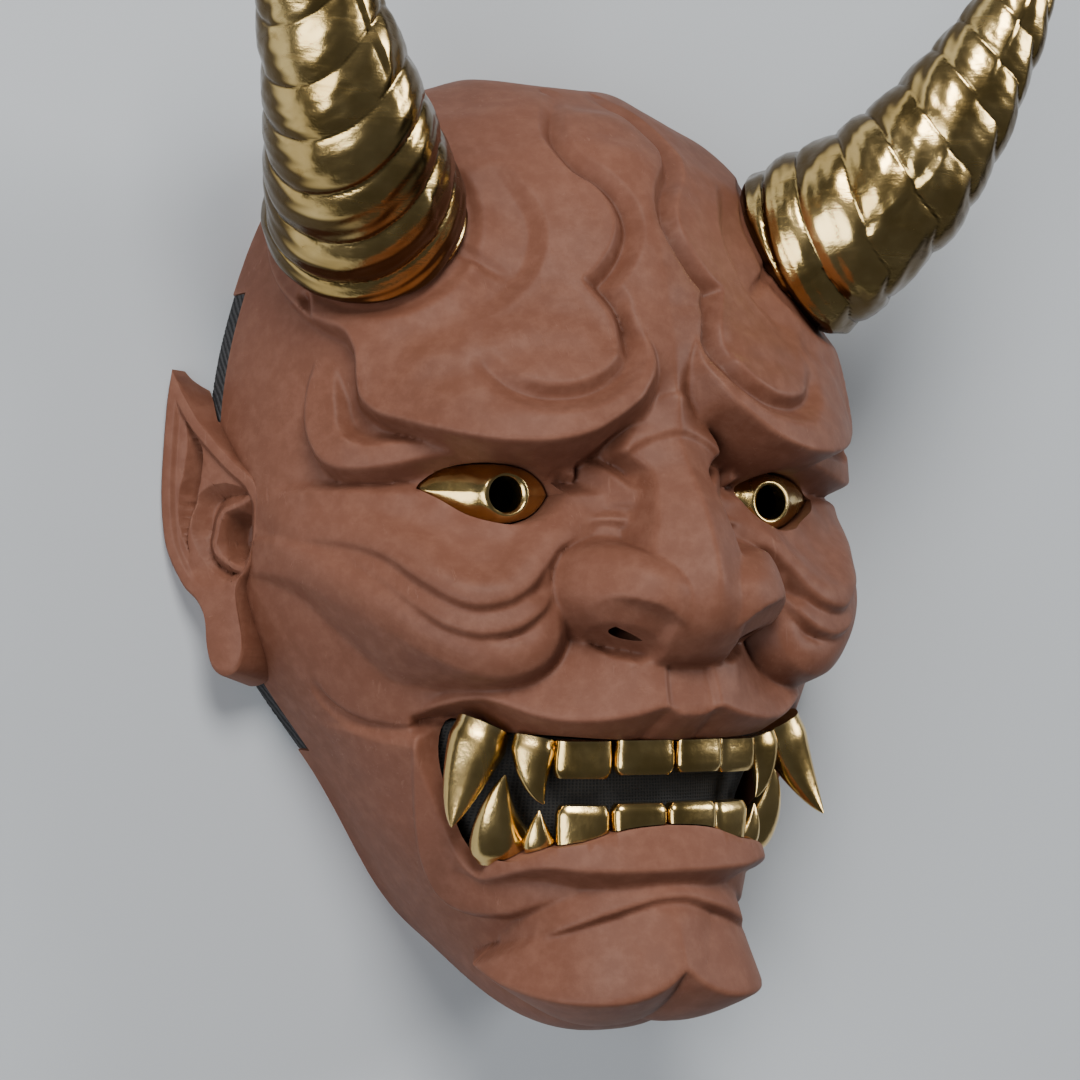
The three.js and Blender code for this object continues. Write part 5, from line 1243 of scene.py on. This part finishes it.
def castingFinish():
    material, shader, place, turn = startFinish('castingFinish')
    cloud = place.noise(22, 4, 0.55)
    fine = place.noise(260, 5, 0.65)
    strokes = place.stretch((900, 120, 400), (0.5, 0.3, 0.9)).noise(1, 4, 0.7, 0.4)
    cross = place.stretch((140, 1100, 500), (0.2, 0.7, -0.5)).noise(1, 4, 0.7, 0.3)
    scratch = strokes.span(0.60, 0.72) * place.noise(30, 2).span(0.45, 0.62)
    scratch2 = cross.span(0.62, 0.74) * place.noise(24, 2).span(0.5, 0.66)
    edge = turn.span(0.05, 0.30)
    hollow = (turn * -1).span(0.04, 0.26)
    skin = cloud.span(0.3, 0.7).blend(*castingLook['skin'])
    skin = (fine.span(0.35, 0.75) * 0.25).blend(skin, castingLook['light'])
    # painted shade: the skin is darkened in its hollows and creases
    skin = (hollow * 0.55).blend(skin, castingLook['paintedHollowShade'])
    # lighter on sharp edges: partly rubbed wear, partly a painted highlight
    skin = (edge * 0.38).blend(skin, castingLook['light'])
    skin = ((scratch + scratch2) * 0.28).blend(skin, castingLook['light'])
    feed(shader, 'Base Color', skin)
    feed(shader, 'Roughness', castingLook['rough'] + cloud.span(0.3, 0.7) * 0.1 - (scratch * 0.1))
    rough = bumped(fine + place.noise(90, 3) * 1.5, 0.25, 0.0004)
    feed(shader, 'Normal', bumped((scratch + scratch2) * -1, 0.3, 0.00025, rough))
    shader.inputs['Specular IOR Level'].default_value = castingLook['specular']
    return material


goldLook = {
    'metal': (colour(0.56, 0.38, 0.13), colour(0.80, 0.58, 0.24)),
    'streak': colour(0.22, 0.13, 0.035),
    'hollow': colour(0.05, 0.028, 0.007),
    'paintedFlankShade': colour(0.05, 0.028, 0.008),
    'edge': colour(0.90, 0.70, 0.36),
    'rough': 0.15,
}


def goldFinish(name, streaks):
    material, shader, place, turn = startFinish(name)
    shader.inputs['Metallic'].default_value = 1.0
    cloud = place.noise(60, 4, 0.6)
    fine = place.noise(500, 4, 0.6)
    streak = place.stretch(streaks, (0.3, 0.1, -0.35)).noise(1, 4, 0.62, 0.5)
    shade = place.node('ShaderNodeAttribute', {'attribute_name': 'paintedFlankShade'}, None, 2)
    hollow = (turn * -1).span(0.02, 0.16)
    edge = turn.span(0.05, 0.3)
    metal = cloud.span(0.3, 0.7).blend(*goldLook['metal'])
    metal = (streak.span(0.55, 0.72) * 0.45).blend(metal, goldLook['streak'])
    # painted shade: the gold goes almost black in its hollows, between the ridges
    metal = (hollow * 0.92).blend(metal, goldLook['hollow'])
    # painted shade: the horn flanks turned from the camera go dark, mottled by noise
    metal = ((shade + (cloud - 0.5) * 0.3).span(0.2, 0.8) * 0.92).blend(metal, goldLook['paintedFlankShade'])
    # painted highlight: brighter gold on sharp edges and ridge tops
    metal = (edge * 0.5).blend(metal, goldLook['edge'])
    feed(shader, 'Base Color', metal)
    feed(shader, 'Roughness', goldLook['rough'] + cloud * 0.1 + streak.span(0.5, 0.7) * 0.1)
    ripple = bumped(streak, 0.2, 0.0006)
    feed(shader, 'Normal', bumped(fine + cloud * 2, 0.12, 0.0005, ripple))
    return material


def liningFinish():
    material, shader, place, turn = startFinish('liningFinish')
    warp = place.bands('X', 420, 0.6)
    weft = place.bands('Y', 420, 0.6)
    weave = warp.maths('MAXIMUM', warp, weft)
    threads = weave.span(0.3, 0.9).blend(colour(0.003, 0.003, 0.003), colour(0.022, 0.02, 0.018))
    feed(shader, 'Base Color', threads)
    feed(shader, 'Roughness', 0.75 + weave * 0.1)
    feed(shader, 'Normal', bumped(weave, 0.5, 0.0003))
    return material


def elasticFinish():
    material, shader, place, turn = startFinish('elasticFinish')
    braid = place.bands('DIAGONAL', 260, 1.5)
    fibre = place.noise(900, 3, 0.6)
    hollow = (turn * -1).span(0.02, 0.2)
    cloth = braid.span(0.2, 0.8).blend(colour(0.008, 0.008, 0.009), colour(0.04, 0.04, 0.042))
    # painted shade: the braid darkens in its hollows between the ribs
    feed(shader, 'Base Color', (hollow * 0.7).blend(cloth, colour(0.004, 0.004, 0.004)))
    feed(shader, 'Roughness', 0.72 + fibre * 0.15)
    feed(shader, 'Normal', bumped(braid + fibre * 0.5, 0.45, 0.0003))
    return material


finishes = {
    'casting': castingFinish(),
    'horn_gold': goldFinish('hornGold', (60, 260, 120)),
    'gold': goldFinish('goldCoat', (120, 60, 120)),
    'lining': liningFinish(),
    'elastic': elasticFinish(),
}

# Every piece with the solid it stands for, its finish and how sharp an edge must be to stay crisp
pieces = [
    (mask, 'mask', 'casting', 60),
    (horns[0], 'horn_left', 'horn_gold', 60),
    (horns[1], 'horn_right', 'horn_gold', 60),
    (eyes[0], 'eye_left', 'gold', 45),
    (eyes[1], 'eye_right', 'gold', 45),
    (teeth[0], 'upper_teeth', 'gold', 40),
    (teeth[1], 'lower_teeth', 'gold', 40),
    (lining, 'mouth_lining', 'lining', 40),
    (sideStraps[0], 'side_strap_left', 'elastic', 50),
    (sideStraps[1], 'side_strap_right', 'elastic', 50),
]
for piece, node, slot, crisp in pieces:
    mesh = piece.data
    mesh.polygons.foreach_set('use_smooth', np.ones(len(mesh.polygons), bool))
    mesh.set_sharp_from_angle(angle=math.radians(crisp))
    storeShape(piece)
    storePaintedFlankShade(piece, slot == 'horn_gold')
    mesh.materials.clear()
    mesh.materials.append(finishes[slot])
    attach(piece, 'root')
    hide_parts(node)
    print(piece.name, len(mesh.polygons), 'faces')

# Floor and light
studio = {
    'floorSize': 12.0,
    'floorLevel': 0.0,
    'floorColour': colour(0.50, 0.527, 0.553),
    'sky': colour(0.62, 0.64, 0.67),
    'skyStrength': 0.11,
    # name, place in metres, size in metres, power, colour
    'lamps': [
        ('keyLamp', (-0.45, 0.95, 1.25), 0.7, 25, (1.0, 0.98, 0.95)),
        ('fillLamp', (-1.1, -0.25, 0.9), 1.0, 14, (0.95, 0.97, 1.0)),
        ('rimLamp', (1.1, 0.35, 0.75), 0.6, 9, (1.0, 1.0, 1.0)),
    ],
}


def setStudio():
    mesh = bpy.data.meshes.new('floor')
    reach = studio['floorSize'] / 2
    low = studio['floorLevel']
    corners = ((-1, -1), (1, -1), (1, 1), (-1, 1))
    mesh.from_pydata([(x * reach, y * reach, low) for x, y in corners], [], [(0, 1, 2, 3)])
    floor = bpy.data.objects.new('floor', mesh)
    bpy.context.collection.objects.link(floor)
    material, shader, place, turn = startFinish('floorPaint')
    feed(shader, 'Base Color', studio['floorColour'])
    shader.inputs['Roughness'].default_value = 0.9
    mesh.materials.append(material)
    world = bpy.data.worlds.new('studio')
    world.use_nodes = True
    sky = world.node_tree.nodes['Background']
    sky.inputs['Color'].default_value = studio['sky']
    sky.inputs['Strength'].default_value = studio['skyStrength']
    bpy.context.scene.world = world
    for name, place, size, power, tint in studio['lamps']:
        lamp = bpy.data.lights.new(name, 'AREA')
        lamp.shape = 'DISK'
        lamp.size = size
        lamp.energy = power
        lamp.color = tint
        holder = bpy.data.objects.new(name, lamp)
        holder.location = place
        holder.rotation_euler = (Vector((0, 0, 0.05)) - Vector(place)).to_track_quat('-Z', 'Y').to_euler()
        bpy.context.collection.objects.link(holder)


setStudio()
print('studio lit')
